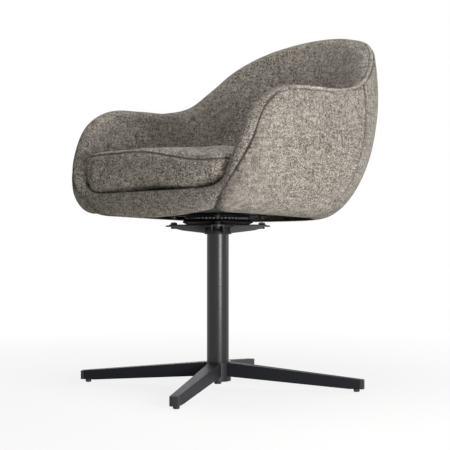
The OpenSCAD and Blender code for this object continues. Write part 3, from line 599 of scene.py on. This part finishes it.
# Soft unevenness of stuffed cloth: a sum of a few slow waves in three directions
def unevenness(p, size, seed):
    rng = np.random.default_rng(seed)
    total = np.zeros(p.shape[:-1])
    for _ in range(7):
        wave = rng.normal(size=3)
        wave *= 2 * math.pi / (size * rng.uniform(.7, 1.6)) / np.linalg.norm(wave)
        total += np.sin(p @ wave + rng.uniform(0, 6.28))
    return total / 7


# One property of all items of a mesh, written from an array or read into one
def write(items, field, values):
    items.foreach_set(field, values.astype(np.float32).ravel())


def read(items, field, width=1, kind=np.float32):
    values = np.zeros((len(items), width), kind)
    items.foreach_get(field, values.ravel())
    return values


# Writes the painted shade, a point attribute named seam that darkens the cloth's colour
def setPaintedShade(mesh, seam):
    write(mesh.attributes.new("seam", "FLOAT", "POINT").data, "value", seam)


# The vertex that each face corner stands on
def cornerVertices(mesh):
    return read(mesh.loops, "vertex_index", kind=np.int32)[:, 0]


# Weave map by face corner, smooth faces and the material
def dressCloth(mesh, cloth, material):
    write(mesh.uv_layers.new(name="cloth").data, "uv", cloth)
    mesh.polygons.foreach_set("use_smooth", np.ones(len(mesh.polygons), bool))
    mesh.materials.append(material)


# A mesh object from grid points in millimetres, its weave map in metres and its painted seam shade
def clothPiece(name, points, cloth, seam, faces, material):
    mesh = bpy.data.meshes.new(name)
    mesh.from_pydata((points.reshape(-1, 3) * mm).tolist(), [], faces.tolist())
    setPaintedShade(mesh, seam)
    dressCloth(mesh, cloth.reshape(-1, 2)[cornerVertices(mesh)], material)
    return added(name, mesh)


# Changes a piece's mesh by a function that works on it as a bmesh
def rework(piece, change):
    work = bmesh.new()
    work.from_mesh(piece.data)
    change(work)
    work.to_mesh(piece.data)
    work.free()


def turnOutwards(work):
    bmesh.ops.recalc_face_normals(work, faces=work.faces)


# Quads of a grid, wound so that they face along row direction cross column direction
def gridFaces(rows, columns, start=0, closed=False):
    last = columns if closed else columns - 1
    i, j = np.meshgrid(np.arange(rows - 1), np.arange(last), indexing="ij")
    k = (j + 1) % columns
    return start + np.stack([i * columns + j, (i + 1) * columns + j, (i + 1) * columns + k, i * columns + k],
                            -1).reshape(-1, 4)


# share, a number from 0 to 1 for each grid point, makes the wall thinner there
def thicken(piece, thickness, share=None):
    wall = piece.modifiers.new("wall", "SOLIDIFY")
    wall.thickness, wall.offset = thickness * mm, -1
    if share is not None:
        level = np.round(share.ravel(), 1)
        group = piece.vertex_groups.new(name="wall")
        for value in np.unique(level):
            group.add(np.flatnonzero(level == value).tolist(), float(value), "REPLACE")
        wall.vertex_group, wall.thickness_vertex_group = "wall", 0


def seatPiece(piece, fill, *nodes):
    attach(piece, "seat")
    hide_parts(*nodes)


# Outer covers: each panel's edges turn down into its seams, and painted shade darkens the cloth along them, widest on
# the back panel beyond the side panel's ridge
coverLook = {
    "step": .055, "fine": .012, "fineReach": .12, "rows": 110, "fineRows": 10, "wall": 1.6, "uneven": 1.3,
    "waves": 150, "edge": (6.5, 4.2), "dark": 3.6, "ridge": 2.2, "ridgeAt": 8.5, "ridgeWidth": 5.5,
    "side": (5.0, 5.0), "sidePaintedShade": 3.0, "backStep": 1.4, "backReach": 22.0, "backPaintedShade": 11.0,
}


# Outer surface and the roll above it, up to the welt at t = 2
def outerToWelt(k, t):
    turn = between(number(seamTurns, k), weltTurn(k), np.clip(t - 1, 0, 1))
    return np.where((t > 1)[..., None], rimPoint(k, turn), outerAt(k, np.minimum(t, 1)))


# Rows of points up each station's column, by length from the foot to just short of the welt
def outerGrid(k):
    rows, fineRows = coverLook["rows"], coverLook["fineRows"]
    table = np.concatenate([np.linspace(0, 1, 160), np.linspace(1, 2, 20)[1:]])
    kk, tt = np.meshgrid(k, table)
    track = lengths(outerToWelt(kk, tt), 0)
    reach = track[-1] - weltHalf(k)
    fine = np.minimum(9.0, .3 * reach)
    share = np.linspace(0, 1, rows)[:, None]
    last = np.linspace(0, 1, fineRows + 1)[1:, None]
    want = np.concatenate([share * (reach - fine), reach - fine + fine * last])
    t = np.stack([np.interp(want[:, j], track[:, j], table) for j in range(len(k))], 1)
    return outerToWelt(np.broadcast_to(k, t.shape), t)


def outerCover(name, first, last, node, seed):
    look = coverLook
    reach = look["fineReach"]
    reaches = [reach * (abs(end) == seamK) for end in (first, last)]
    k = spread(first, last, look["step"], look["fine"], *reaches)
    p = outerGrid(k)
    up, along = lengths(p, 0), lengths(p, 1)
    toRim = up[-1] - up
    ends = (first, along), (last, along[:, -1:] - along)
    sides = [away for end, away in ends if abs(end) == seamK]
    toSide = np.minimum.reduce(sides)
    normal = gridNormals(p)
    inset = edgeDip(toRim, *look["edge"])
    inset = np.maximum(inset, edgeDip(toSide, *look["side"]))
    calm = eased(np.minimum(toRim, toSide), 4, 40) * eased(up, 5, 50)
    swell = look["uneven"] * unevenness(p, look["waves"], seed) * calm
    if len(sides) == 1:
        swell += look["ridge"] * np.exp(-((toSide - look["ridgeAt"]) / look["ridgeWidth"])**2) * eased(up, 10, 60)
    else:
        swell -= look["backStep"] * np.exp(-(toSide / look["backReach"])**2) * eased(toRim, 4, 30)
    sidePaintedShade = look["sidePaintedShade"] if len(sides) == 1 else look["backPaintedShade"]
    p = p + normal * (swell - inset * seamStrength(k))[..., None]
    p[..., 2] += cornerLift(k) * between(1, cornerShare(k), eased(up / up[-1], 0, 1))
    # Painted shade: darker near the rim seam and near the side seams
    shade = np.maximum((1 - eased(toRim, .5, look["dark"])) * seamShade(k), 1 - eased(toSide, .5, sidePaintedShade))
    cloth = np.stack([along, up], -1) * mm
    piece = clothPiece(name, p, cloth, shade, gridFaces(*p.shape[:2]), finishes["cloth"])
    share = 1 - cornerLook["thinner"] * eased(np.abs(k), *cornerLook["wall"])
    thicken(piece, look["wall"], np.broadcast_to(share, p.shape[:2]))
    seatPiece(piece, .55, node)


outerCover("outerSideLeft", seamK, lastK, "outer_side_left", 3)
outerCover("outerSideRight", -lastK, -seamK, "outer_side_right", 4)
outerCover("outerBack", -seamK, seamK, "outer_back", 5)
print("outer covers are made")

# Inner cover: over the roll from the rim seam and down to the deck, in one piece with the apron below the cushion;
# painted shade darkens it along its seams
innerLook = {"roll": 13, "face": 84, "step": .066, "edge": (6.5, 4.0), "uneven": 1.5, "waves": 130,
             "wall": 3.5, "dark": 3.0, "merge": .0004, "apronRows": 40, "apronColumns": 90, "sag": 7.0, "proud": 3.0,
             "lowIn": 12.0, "topIn": 6.0}
apronY = yf - shell["noseFlat"] * rollR + 1


def rimAngles(k, count):
    start = weltTurn(k) + np.degrees(weltHalf(k) / (rollR * number(rollShares, k)))
    share = np.linspace(0, 1, count)[:, None]**1.35
    return between(start, 90.0, share)


# Rows over the roll from the rim to its top and inner side, then down the face
def innerGrid(k):
    look = innerLook
    inner = between(90.0, leaveAt(k), np.linspace(0, 1, look["roll"])[1:, None])
    angles = np.concatenate([rimAngles(k, look["roll"]), inner])
    kk, tt = np.meshgrid(k, np.linspace(0, 1, look["face"])[1:])
    return np.concatenate([rollPoint(np.broadcast_to(k, angles.shape), angles), innerAt(kk, tt)])


# Point on the roll in front of the arm, lowered towards the bottom edge to the seam's end
def noseAt(v, degrees):
    k = between(lastK, padLastK, v)
    p = rimPoint(k, degrees)
    p[..., 2] += cornerLift(k) * cornerShare(k)
    return p


# Apron's face: across from the roll's front at u = 1 to the middle at u = 0, v from the bottom to the top edge
def apronFace(u, v):
    look = innerLook
    e = noseAt(v, np.full_like(v, 90.0))
    s = 1 - u**between(12, 6, v)
    midZ = between(edgeZ - look["sag"], deckTopZ - 1, v)
    midY = apronY - look["proud"] + look["lowIn"] * (1 - v)**3 + look["topIn"] * v**6
    z = between(e[..., 2], midZ, 1 - u**between(2, 9, v))
    return np.stack([u * e[..., 0], between(e[..., 1], midY, s), z], -1)


# Both halves of a grid whose columns run from the left to the middle
def bothSides(half):
    return np.concatenate([half, half[:, -2::-1] * [-1, 1, 1]], 1)


def apronGrid():
    look = innerLook
    v = np.linspace(0, 1, look["apronRows"])
    angles = rimAngles(between(lastK, padLastK, v), look["roll"]).T
    nose = noseAt(np.broadcast_to(v[:, None], angles.shape), angles)
    uu, vv = np.meshgrid(np.linspace(1, 0, look["apronColumns"])[1:], v)
    return bothSides(np.concatenate([nose, apronFace(uu, vv)], 1))


# Apron's top edge: it turns in over the deck, and at the corners it follows the padding's end down to the deck
def apronTop():
    look = innerLook
    turn = np.linspace(90, 180, look["roll"] + 1)
    t = np.linspace(0, 1, look["face"])[7::7]
    corner = np.concatenate([rollPoint(np.full_like(turn, padLastK), turn), innerAt(np.full_like(t, padLastK), t)])
    w = np.linspace(0, 1, len(corner))
    fillet = np.stack([0 * w, 12 * w, 1.2 * np.sin(2.6 * w)], -1)
    u = np.linspace(1, 0, look["apronColumns"])
    edge = apronFace(u, np.ones_like(u))
    share = (u**9)[None, :, None]
    rows = edge + share * (corner - corner[0])[:, None] + (1 - share) * fillet[:, None]
    return bothSides(rows)


# Apron's bottom edge: it turns under and in to the board
def apronUnder(edge):
    rows = [(1.0, 0, 0), (.998, 1.5, -1.6), (.993, 5, -1.9), (.984, 10, .6), (.97, 18, 4.5), (.955, 27, 6.5)]
    grid = np.array([edge * [sx, 1, 1] + [0, dy, dz] for sx, dy, dz in rows])
    grid[-1, :, 2] = boardZ - .6
    return grid[::-1]


def innerCover():
    look = innerLook
    k = np.linspace(-padLastK, padLastK, 2 * round(padLastK / look["step"]) + 1)
    p = innerGrid(k)
    q = apronGrid()
    pUp, pAlong = lengths(p, 0), lengths(p, 1)
    pAlong = pAlong - pAlong[:, len(k) // 2][:, None]
    qUp, qAcross = lengths(q, 0), lengths(q, 1)
    toSeam = np.minimum(qAcross, qAcross[:, -1:] - qAcross)
    pDip = edgeDip(pUp, *look["edge"])
    qDip = edgeDip(toSeam, *look["edge"])
    calm = eased(pUp, 4, 50) * eased(np.abs(k), padLastK, padLastK - 1.5)
    pWave = look["uneven"] * unevenness(p, look["waves"], 8) * calm
    p = p + gridNormals(p) * (pWave - pDip)[..., None]
    qK = between(lastK, padLastK, np.linspace(0, 1, look["apronRows"]))[:, None]
    q = q - gridNormals(q) * (qDip * seamStrength(qK))[..., None]
    across = .5 * qAcross[:, -1:] - qAcross
    top, under = apronTop(), apronUnder(q[0])
    side = (q.shape[1] - top.shape[1]) // 2
    topMap = np.stack([across[-1:, side:-side] + 0 * top[..., 0], qUp[-1, side:-side] + lengths(top, 0)], -1)
    underMap = np.stack([across[:1] + 0 * under[..., 0], lengths(under, 0) - lengths(under, 0)[-1]], -1)
    # Painted shade along the rim seam and the apron's seams, none on the apron's top and bottom edges
    parts = [(p, np.stack([pAlong, -pUp], -1), (1 - eased(pUp, .5, look["dark"])) * seamShade(k)),
             (q, np.stack([across, qUp], -1), (1 - eased(toSeam, .5, look["dark"])) * seamShade(qK)),
             (top, topMap, 0 * top[..., 0]), (under, underMap, 0 * under[..., 0])]
    points = np.concatenate([part[0].reshape(-1, 3) for part in parts])
    cloth = np.concatenate([part[1].reshape(-1, 2) for part in parts]) * mm
    shade = np.concatenate([part[2].ravel() for part in parts])
    starts = np.cumsum([0] + [part[2].size for part in parts])
    faces = np.concatenate([gridFaces(*part[2].shape, start=start) for part, start in zip(parts, starts)])
    piece = clothPiece("innerCover", points, cloth, shade, faces, finishes["cloth"])
    rework(piece, lambda work: bmesh.ops.remove_doubles(work, verts=work.verts, dist=look["merge"]))
    thicken(piece, look["wall"])
    seatPiece(piece, .6, "inner_pad", "front_apron")


innerCover()
print("inner cover is made")


# Welt on the rim seam: a low half round carried along the seam line, its edges sunk between the covers
def rimWelt():
    k = np.linspace(-weltLook["end"], weltLook["end"], 600)
    n, up = rollFrame(k)
    a = np.radians(weltTurn(k))[:, None]
    proud = np.cos(a) * n + np.sin(a) * up
    side = np.sin(a) * n - np.cos(a) * up
    half = weltHalf(k)
    rise = weltLook["rise"] * (half - weltLook["thin"]) / (weltLook["half"] - weltLook["thin"]) - weltLook["sunk"]
    rise -= cornerLook["weltSink"] * eased(np.abs(k), *cornerLook["weltDown"])
    w = np.linspace(-1, 1, 15)[:, None, None]
    height = (rise[None, :, None] + weltLook["deep"]) * np.sqrt(1 - .97 * w * w) - weltLook["deep"]
    p = rimPoint(k, weltTurn(k)) + w * (half + weltLook["overlap"])[None, :, None] * side + height * proud
    p[..., 2] += cornerLift(k) * cornerShare(k)
    along = lengths(p, 1)
    across = lengths(p, 0)
    # Painted shade: dark at the welt's edges against the covers, and over all of it where it runs out to a plain seam
    shade = np.maximum(eased(np.abs(w[..., 0]) + 0 * half, .72, 1.0), weltThin(k)) * seamShade(k)
    cloth = np.stack([along, across], -1) * mm
    piece = clothPiece("rimWelt", p[::-1], cloth[::-1], shade[::-1], gridFaces(*p.shape[:2]), finishes["weltClothPaintedLight"])
    thicken(piece, weltLook["wall"])
    seatPiece(piece, None, "rim_welt")


rimWelt()
print("rim welt is made")

# Seat cushion: drawn-in bottom, full sides up to its top seam and a crown, swelled by a cloth simulation
cushion = {
    "crown": 96.0, "front": 219.0, "gap": 1.0, "middle": (0.0, 20.0), "corner": 42.0, "square": .65, "bow": 3.0,
    "points": 260, "girth": 215.0, "level": .62,
    "start": 1.5,                 # how much smaller the shape is before it swells
    "voxel": .0054, "pressure": 4.0, "frames": 20, "cap": 5.0,
    "seamHeights": (524.5, 495.0), "seamSlope": (-60.0, 190.0),
    "groove": 4.6, "grooveWidth": 3.2, "pipe": 2.3, "lip": 3.0, "lipAt": 7.0, "lipWidth": 4.5,
    # painted shade: how dark along the top seam, at what height from it and how wide, and how dark along the front's
    # foot
    "seamPaintedShade": .95, "seamPaintedShadeAt": -2.2, "seamPaintedShadeWidth": 2.4, "footPaintedShade": .7,
    # the front's foot is lifted and tucked in round one place, and the front corner at the sitter's left is round
    "forward": (120, 205), "lift": 8.0, "tuck": 8.0, "tuckAt": -25, "tuckWidth": 105, "tuckHigh": .3,
    "round": 16.0, "roundFrom": (110, 200), "roundHigh": .7, "facing": (170, 205), "rim": (.80, .93),
    # soft creases in the front: x and height above the deck of both ends, depth, width
    "creases": [(-138, 68, -174, 30, 2.4, 8), (-196, 60, -204, 34, 1.2, 6), (38, 40, 92, 22, 1.5, 12),
                (150, 50, 186, 24, 1.6, 9), (-60, 24, 20, 20, 1.8, 10)],
}
cushionZ = padZ
cushionMiddle = np.array([*cushion["middle"], 0])


# Height of the top seam round the cushion: it sinks towards the sitter's left
def seamHeight(x):
    return between(*cushion["seamHeights"], eased(x, *cushion["seamSlope"]))


# Plan line of the padding at the height of the cushion's widest ring
def besideCushion(k):
    table = np.linspace(0, 1, 300)
    kk, tt = np.meshgrid(k, table)
    p = innerAt(kk, tt)
    t = np.array([np.interp(-cushionZ - 45, -p[:, j, 2], table) for j in range(len(k))])
    found = innerAt(k, t)
    found[:, 2] = 0
    return found


# Closed plan outline with evenly spaced points: beside the padding, squarish corners, a bowed front
def cushionRing(count):
    corner, square = cushion["corner"], cushion["square"]
    k = np.linspace(-9.3, 9.3, 90)
    d = unit(besideCushion(k + .05) - besideCushion(k - .05))
    inward = np.stack([-d[:, 1], d[:, 0], 0 * k], -1)
    back = besideCushion(k) - cushion["gap"] * inward
    q = back[-1]
    deep = q[1] + cushion["front"]
    a = np.radians(np.linspace(6, 84, 16))
    right = np.stack([q[0] - corner + corner * np.cos(a)**square, q[1] - deep * np.sin(a)**square, 0 * a], -1)
    x = np.linspace(q[0] - corner, corner - q[0], 40)
    front = np.stack([x, -cushion["front"] - cushion["bow"] * (1 - (x / q[0])**2), 0 * x], -1)
    line = np.concatenate([back, right, front, right[::-1] * [-1, 1, 1], back[:1]])
    run = lengths(line, 0)
    even = np.linspace(0, run[-1], count + 1)[:-1]
    return np.stack([np.interp(even, run, line[:, i]) for i in range(3)], -1)


def cushionForm():
    ring = cushionRing(cushion["points"])
    out = unit(ring - cushionMiddle)
    ring = ring - cushion["start"] * out
    high = (seamHeight(ring[:, 0]) - cushionZ)[:, None]
    # the side: how far in, and the share of the seam's height
    side = [(34, .006), (24, .03), (16, .06), (12, .10), (9, .16), (6.5, .25), (4, .35), (2, .45), (.7, .55),
            (0, .65), (0, .75), (0, .85), (.6, .93), (2, 1.0)]
    forward = eased(-ring[:, 1:2], *cushion["forward"])
    front = forward * np.exp(-((ring[:, :1] - cushion["tuckAt"]) / cushion["tuckWidth"])**2)
    corner = forward * eased(ring[:, :1], *cushion["roundFrom"])
    rings = []
    for inset, share in side:
        low = front * max(0, 1 - share / cushion["tuckHigh"])
        z = high * share + cushion["lift"] * low
        rounded = cushion["round"] * corner * max(0, 1 - share / cushion["roundHigh"])**2
        rings.append(ring - (inset + cushion["tuck"] * low + rounded) * out + z * [0, 0, 1])
    # the top panel, from the seam to the crown
    for s in (.965, .93, .88, .81, .72, .6, .46, .32, .18):
        z = high + (cushion["crown"] - high) * (1 - s**3.2)
        rings.append(cushionMiddle + s * (ring - cushionMiddle) + z * [0, 0, 1])
    p = np.array(rings) + [0, 0, cushionZ]
    n, m = p.shape[:2]
    ends = cushionMiddle + np.array([[0, 0, cushionZ + .5], [0, 0, cushionZ + cushion["crown"]]])
    points = np.concatenate([p.reshape(-1, 3), ends]) * mm
    quads = gridFaces(n, m, closed=True)[:, ::-1]
    j = np.arange(m)
    low = np.stack([np.full(m, n * m), (j + 1) % m, j], -1)
    top = np.stack([np.full(m, n * m + 1), (n - 1) * m + j, (n - 1) * m + (j + 1) % m], -1)
    mesh = bpy.data.meshes.new("seatCushion")
    mesh.from_pydata(points.tolist(), [], quads.tolist() + low.tolist() + top.tolist())
    return added("seatCushion", mesh)


def meshPoints(mesh):
    return read(mesh.vertices, "co", 3).astype(float)


# Puts a modifier's result into the piece's own mesh
def bake(piece):
    graph = bpy.context.evaluated_depsgraph_get()
    mesh = bpy.data.meshes.new_from_object(piece.evaluated_get(graph))
    piece.modifiers.clear()
    piece.data = mesh


def swell(piece):
    before = meshPoints(piece.data)
    cloth = piece.modifiers.new("cloth", "CLOTH")
    fabric = cloth.settings
    fabric.quality = 5
    fabric.mass = .25
    fabric.tension_stiffness = fabric.compression_stiffness = 18
    fabric.bending_stiffness = .8
    fabric.use_pressure = True
    fabric.uniform_pressure_force = cushion["pressure"]
    fabric.effector_weights.gravity = 0
    cloth.point_cache.frame_end = cushion["frames"]
    for step in range(1, cushion["frames"] + 1):
        scene.frame_set(step)
    bake(piece)
    scene.frame_set(1)
    move = meshPoints(piece.data) - before
    far = np.linalg.norm(move, axis=1, keepdims=True)
    cap = cushion["cap"] * mm
    share = np.minimum(1, cap * np.tanh(far / cap) / np.maximum(far, 1e-9))
    write(piece.data.vertices, "co", before + move * share)


# How near points lie to a line between two points, in the plane of x and height, as a soft 1 to 0
def nearLine(x, z, ends, width):
    x0, z0, x1, z1 = ends
    dx, dz = x1 - x0, z1 - z0
    t = np.clip(((x - x0) * dx + (z - z0) * dz) / (dx * dx + dz * dz), 0, 1)
    return np.exp(-((x - x0 - t * dx)**2 + (z - z0 - t * dz)**2) / width**2)


# The form is remeshed, swelled and made finer; then come the seam's groove and lip, the creases, and the painted
# shade along the top seam and the front's foot
def seatCushion():
    piece = cushionForm()
    remesh = piece.modifiers.new("remesh", "REMESH")
    remesh.mode, remesh.voxel_size = "VOXEL", cushion["voxel"]
    bake(piece)
    swell(piece)
    finer = piece.modifiers.new("finer", "SUBSURF")
    finer.levels = finer.render_levels = 1
    bake(piece)
    p = meshPoints(piece.data) / mm
    flat = (p - cushionMiddle) * [1, 1, 0]
    away = flat / np.maximum(np.linalg.norm(flat, axis=1, keepdims=True), 1)
    p[:, 2] = np.maximum(p[:, 2], cushionZ + .4)
    lift = p[:, 2] - seamHeight(p[:, 0])
    ring = cushionRing(cushion["points"]) - cushionMiddle
    angle, reach = np.arctan2(ring[:, 1], ring[:, 0]), np.linalg.norm(ring, axis=1)
    order = np.argsort(angle)
    rim = np.interp(np.arctan2(flat[:, 1], flat[:, 0]), angle[order], reach[order], period=2 * math.pi)
    outside = eased(np.linalg.norm(flat, axis=1) / rim, *cushion["rim"])
    depth = cushion["groove"] * np.exp(-(lift / cushion["grooveWidth"])**2) * outside
    facing = eased(-p[:, 1], *cushion["facing"])
    for *ends, deep, width in cushion["creases"]:
        depth += deep * facing * nearLine(p[:, 0], p[:, 2] - cushionZ, ends, width)
    p -= away * depth[:, None]
    p[:, 2] += cushion["lip"] * outside * np.exp(-((lift - cushion["lipAt"]) / cushion["lipWidth"])**2)
    write(piece.data.vertices, "co", p * mm)
    # Painted shade: a dark line along the top seam, and darker along the front's foot over the gap to the apron
    seamShadeMask = np.exp(-((lift - cushion["seamPaintedShadeAt"]) / cushion["seamPaintedShadeWidth"])**2) * outside
    footShadeMask = facing * (1 - eased(p[:, 2] - cushionZ, 0, 6))
    setPaintedShade(piece.data, np.maximum(cushion["seamPaintedShade"] * seamShadeMask, cushion["footPaintedShade"] * footShadeMask))
    dressCloth(piece.data, cushionWeave(piece.data, p), finishes["cushionClothPaintedLight"])
    seatPiece(piece, .7, "seat_cushion")
    return piece


# Weave map: from above on the top and bottom, and round the side by angle and height
def cushionWeave(mesh, p):
    total = read(mesh.polygons, "loop_total", kind=np.int32)[:, 0]
    normal = read(mesh.polygons, "normal", 3)
    level = np.repeat(np.abs(normal[:, 2]) > cushion["level"], total)[:, None]
    c = p[cornerVertices(mesh)]
    girth = np.arctan2(c[:, 0], -(c[:, 1] - cushionMiddle[1])) * cushion["girth"]
    return np.where(level, c[:, :2], np.stack([girth, c[:, 2]], -1)) * mm


# Thin piping pressed into the cushion's top seam: a circle carried round the seam line found on the cushion
def cushionPiping(body):
    tree = BVHTree.FromObject(body, bpy.context.evaluated_depsgraph_get())
    found = []
    for q in cushionRing(2 * cushion["points"]):
        d = unit(q - cushionMiddle)
        z = seamHeight(q[0])
        start = Vector((q + 60 * d + [0, 0, z]) * mm)
        hit = tree.ray_cast(start, Vector(-d))[0]
        found.append(np.array(hit) / mm if hit else q + [0, 0, z])
    line = np.array(found)
    for _ in range(6):
        line = .5 * line + .25 * (np.roll(line, 1, 0) + np.roll(line, -1, 0))
    along = unit(np.roll(line, -1, 0) - np.roll(line, 1, 0))
    out = unit(np.cross(along, [0, 0, 1.0]))
    out *= np.sign(np.sum(out * (line - cushionMiddle), -1, keepdims=True))
    up = np.cross(out, along)
    up *= np.sign(up[:, 2:])
    a = np.linspace(0, 2 * math.pi, 11)[:-1, None, None]
    r = cushion["pipe"]
    p = line + .7 * out + [0, 0, 1.2] + r * (np.cos(a) * out + np.sin(a) * up)
    p = np.moveaxis(p, 0, 1)
    run = lengths(line, 0)
    cloth = np.stack([run[:, None] + 0 * a[:, 0, 0], r * a[:, 0, 0] + 0 * run[:, None]], -1) * mm
    # Painted shade on the piping's lower half
    shade = np.clip(-.3 - 1.1 * np.sin(a[:, 0, 0]), 0, 1) + 0 * run[:, None]
    faces = gridFaces(len(p) + 1, p.shape[1], closed=True) % (len(p) * p.shape[1])
    piece = clothPiece("cushionPiping", p, cloth, shade, faces, finishes["weltClothPaintedLight"])
    rework(piece, turnOutwards)
    seatPiece(piece, None, "cushion_welt")


cushionPiping(seatCushion())
print("cushion is made")


# Closes the small hole in the deck cover's middle and turns the cover to face up
def closeDeck(work):
    hole = [edge for edge in work.edges if edge.is_boundary and edge.calc_length() < .002]
    bmesh.ops.contextual_create(work, geom=hole)
    turnOutwards(work)
    if sum(face.normal.z * face.calc_area() for face in work.faces) < 0:
        bmesh.ops.reverse_faces(work, faces=work.faces)


# Cloth over the foam deck, under the cushion: rings drawn in from the padding's foot
def deckCover():
    k = np.linspace(-10, 10, 150)
    line = sided(innerLine, k) * [1, 1, 0]
    frontY = apronY + 10
    line[:, 1] = np.maximum(line[:, 1], frontY)
    x = np.linspace(line[-1, 0], line[0, 0], 42)[1:-1]
    rim = np.concatenate([line, np.stack([x, np.full_like(x, frontY), 0 * x], -1)])
    s = np.linspace(1, .02, 40)[:, None, None]
    p = cushionMiddle + s * (rim - cushionMiddle)
    p[..., 2] = deckTopZ - 1.2 - 1.5 * (1 - s[..., 0])**.5
    faces = gridFaces(*p.shape[:2], closed=True)
    piece = clothPiece("deckCover", p, p[..., :2] * mm, np.zeros(p.shape[:2]), faces, finishes["cloth"])
    rework(piece, closeDeck)
    thicken(piece, 2)
    seatPiece(piece, None, "seat_deck")


deckCover()
print("deck cover is made")

# Studio: a pale floor, a white ground behind, a soft key from the right and three weaker lamps
studio = {"floorTint": (.82, .815, .80), "whiteNear": .84, "whiteReach": (.5, 1.6), "worldGlow": .07}
lamps = {
    "key": {"place": (1.52, -.52, .36), "aim": (.1, 0, .48), "size": .5, "power": 22.3},
    "top": {"place": (.10, -.10, 1.9), "aim": (.05, -.05, .55), "size": .8, "power": 16},
    "back": {"place": (.7, 1.7, .9), "aim": (0, .1, .6), "size": .9, "power": 15},
    "left": {"place": (-1.5, 1.1, .8), "aim": (0, .1, .6), "size": .9, "power": 5},
}


# 1 for what the camera sees straight, in a reflection or through something
def seenRays(b):
    seen = b.node("ShaderNodeLightPath", out="Is Camera Ray")
    glossy = b.node("ShaderNodeLightPath", out="Is Glossy Ray")
    through = b.node("ShaderNodeLightPath", out="Is Transmission Ray")
    return b.math("ADD", seen + glossy, through, clamp=True)


# A round floor that turns from lit matte to plain white away from the chair
def makeFloor():
    b = Bench("studioFloor")
    place = b.place()
    far = b.node("ShaderNodeVectorMath", {"operation": "LENGTH"}, {0: place}, out="Value")
    white = b.smooth(far, *studio["whiteReach"]) * (1 - studio["whiteNear"]) + studio["whiteNear"]
    speck = b.noise(place, 6, 2) * .02
    matte = b.node("ShaderNodeBsdfDiffuse", {}, {"Color": studio["floorTint"], "Roughness": speck})
    glow = b.node("ShaderNodeEmission", {}, {"Color": (1, 1, 1), "Strength": 1.0})
    b.finish(b.node("ShaderNodeMixShader", {}, {0: seenRays(b) * white, 1: matte, 2: glow}))
    r = np.concatenate([np.linspace(.02, 3, 24), np.linspace(3.5, 24, 12)])[:, None]
    a = np.linspace(0, 2 * math.pi, 65)[None, :-1]
    p = np.stack([r * np.cos(a), r * np.sin(a), 0 * r * a], -1)
    mesh = bpy.data.meshes.new("studioFloor")
    middle = [list(range(63, -1, -1))]
    faces = gridFaces(*p.shape[:2], closed=True).tolist()
    mesh.from_pydata(p.reshape(-1, 3).tolist(), [], faces + middle)
    mesh.materials.append(b.owner)
    added("studioFloor", mesh)


def makeLamps():
    for name, lamp in lamps.items():
        light = bpy.data.lights.new(name, "AREA")
        light.shape, light.size, light.energy = "DISK", lamp["size"], lamp["power"]
        added(name, light, lamp["place"], Vector(lamp["aim"]) - Vector(lamp["place"]))


# A world that is plain white where it is seen and only faintly lights the chair
def makeWorld():
    b = Bench("studioWorld", "worlds")
    dim = b.node("ShaderNodeBackground", {}, {"Color": (1, 1, 1), "Strength": studio["worldGlow"]})
    white = b.node("ShaderNodeBackground", {}, {"Color": (1, 1, 1), "Strength": 1.0})
    both = b.node("ShaderNodeMixShader", {}, {0: seenRays(b), 1: dim, 2: white})
    scene.world = b.finish(both, "ShaderNodeOutputWorld")


makeFloor()
makeLamps()
makeWorld()
scene.view_settings.view_transform = "Standard"
print("studio is lit")
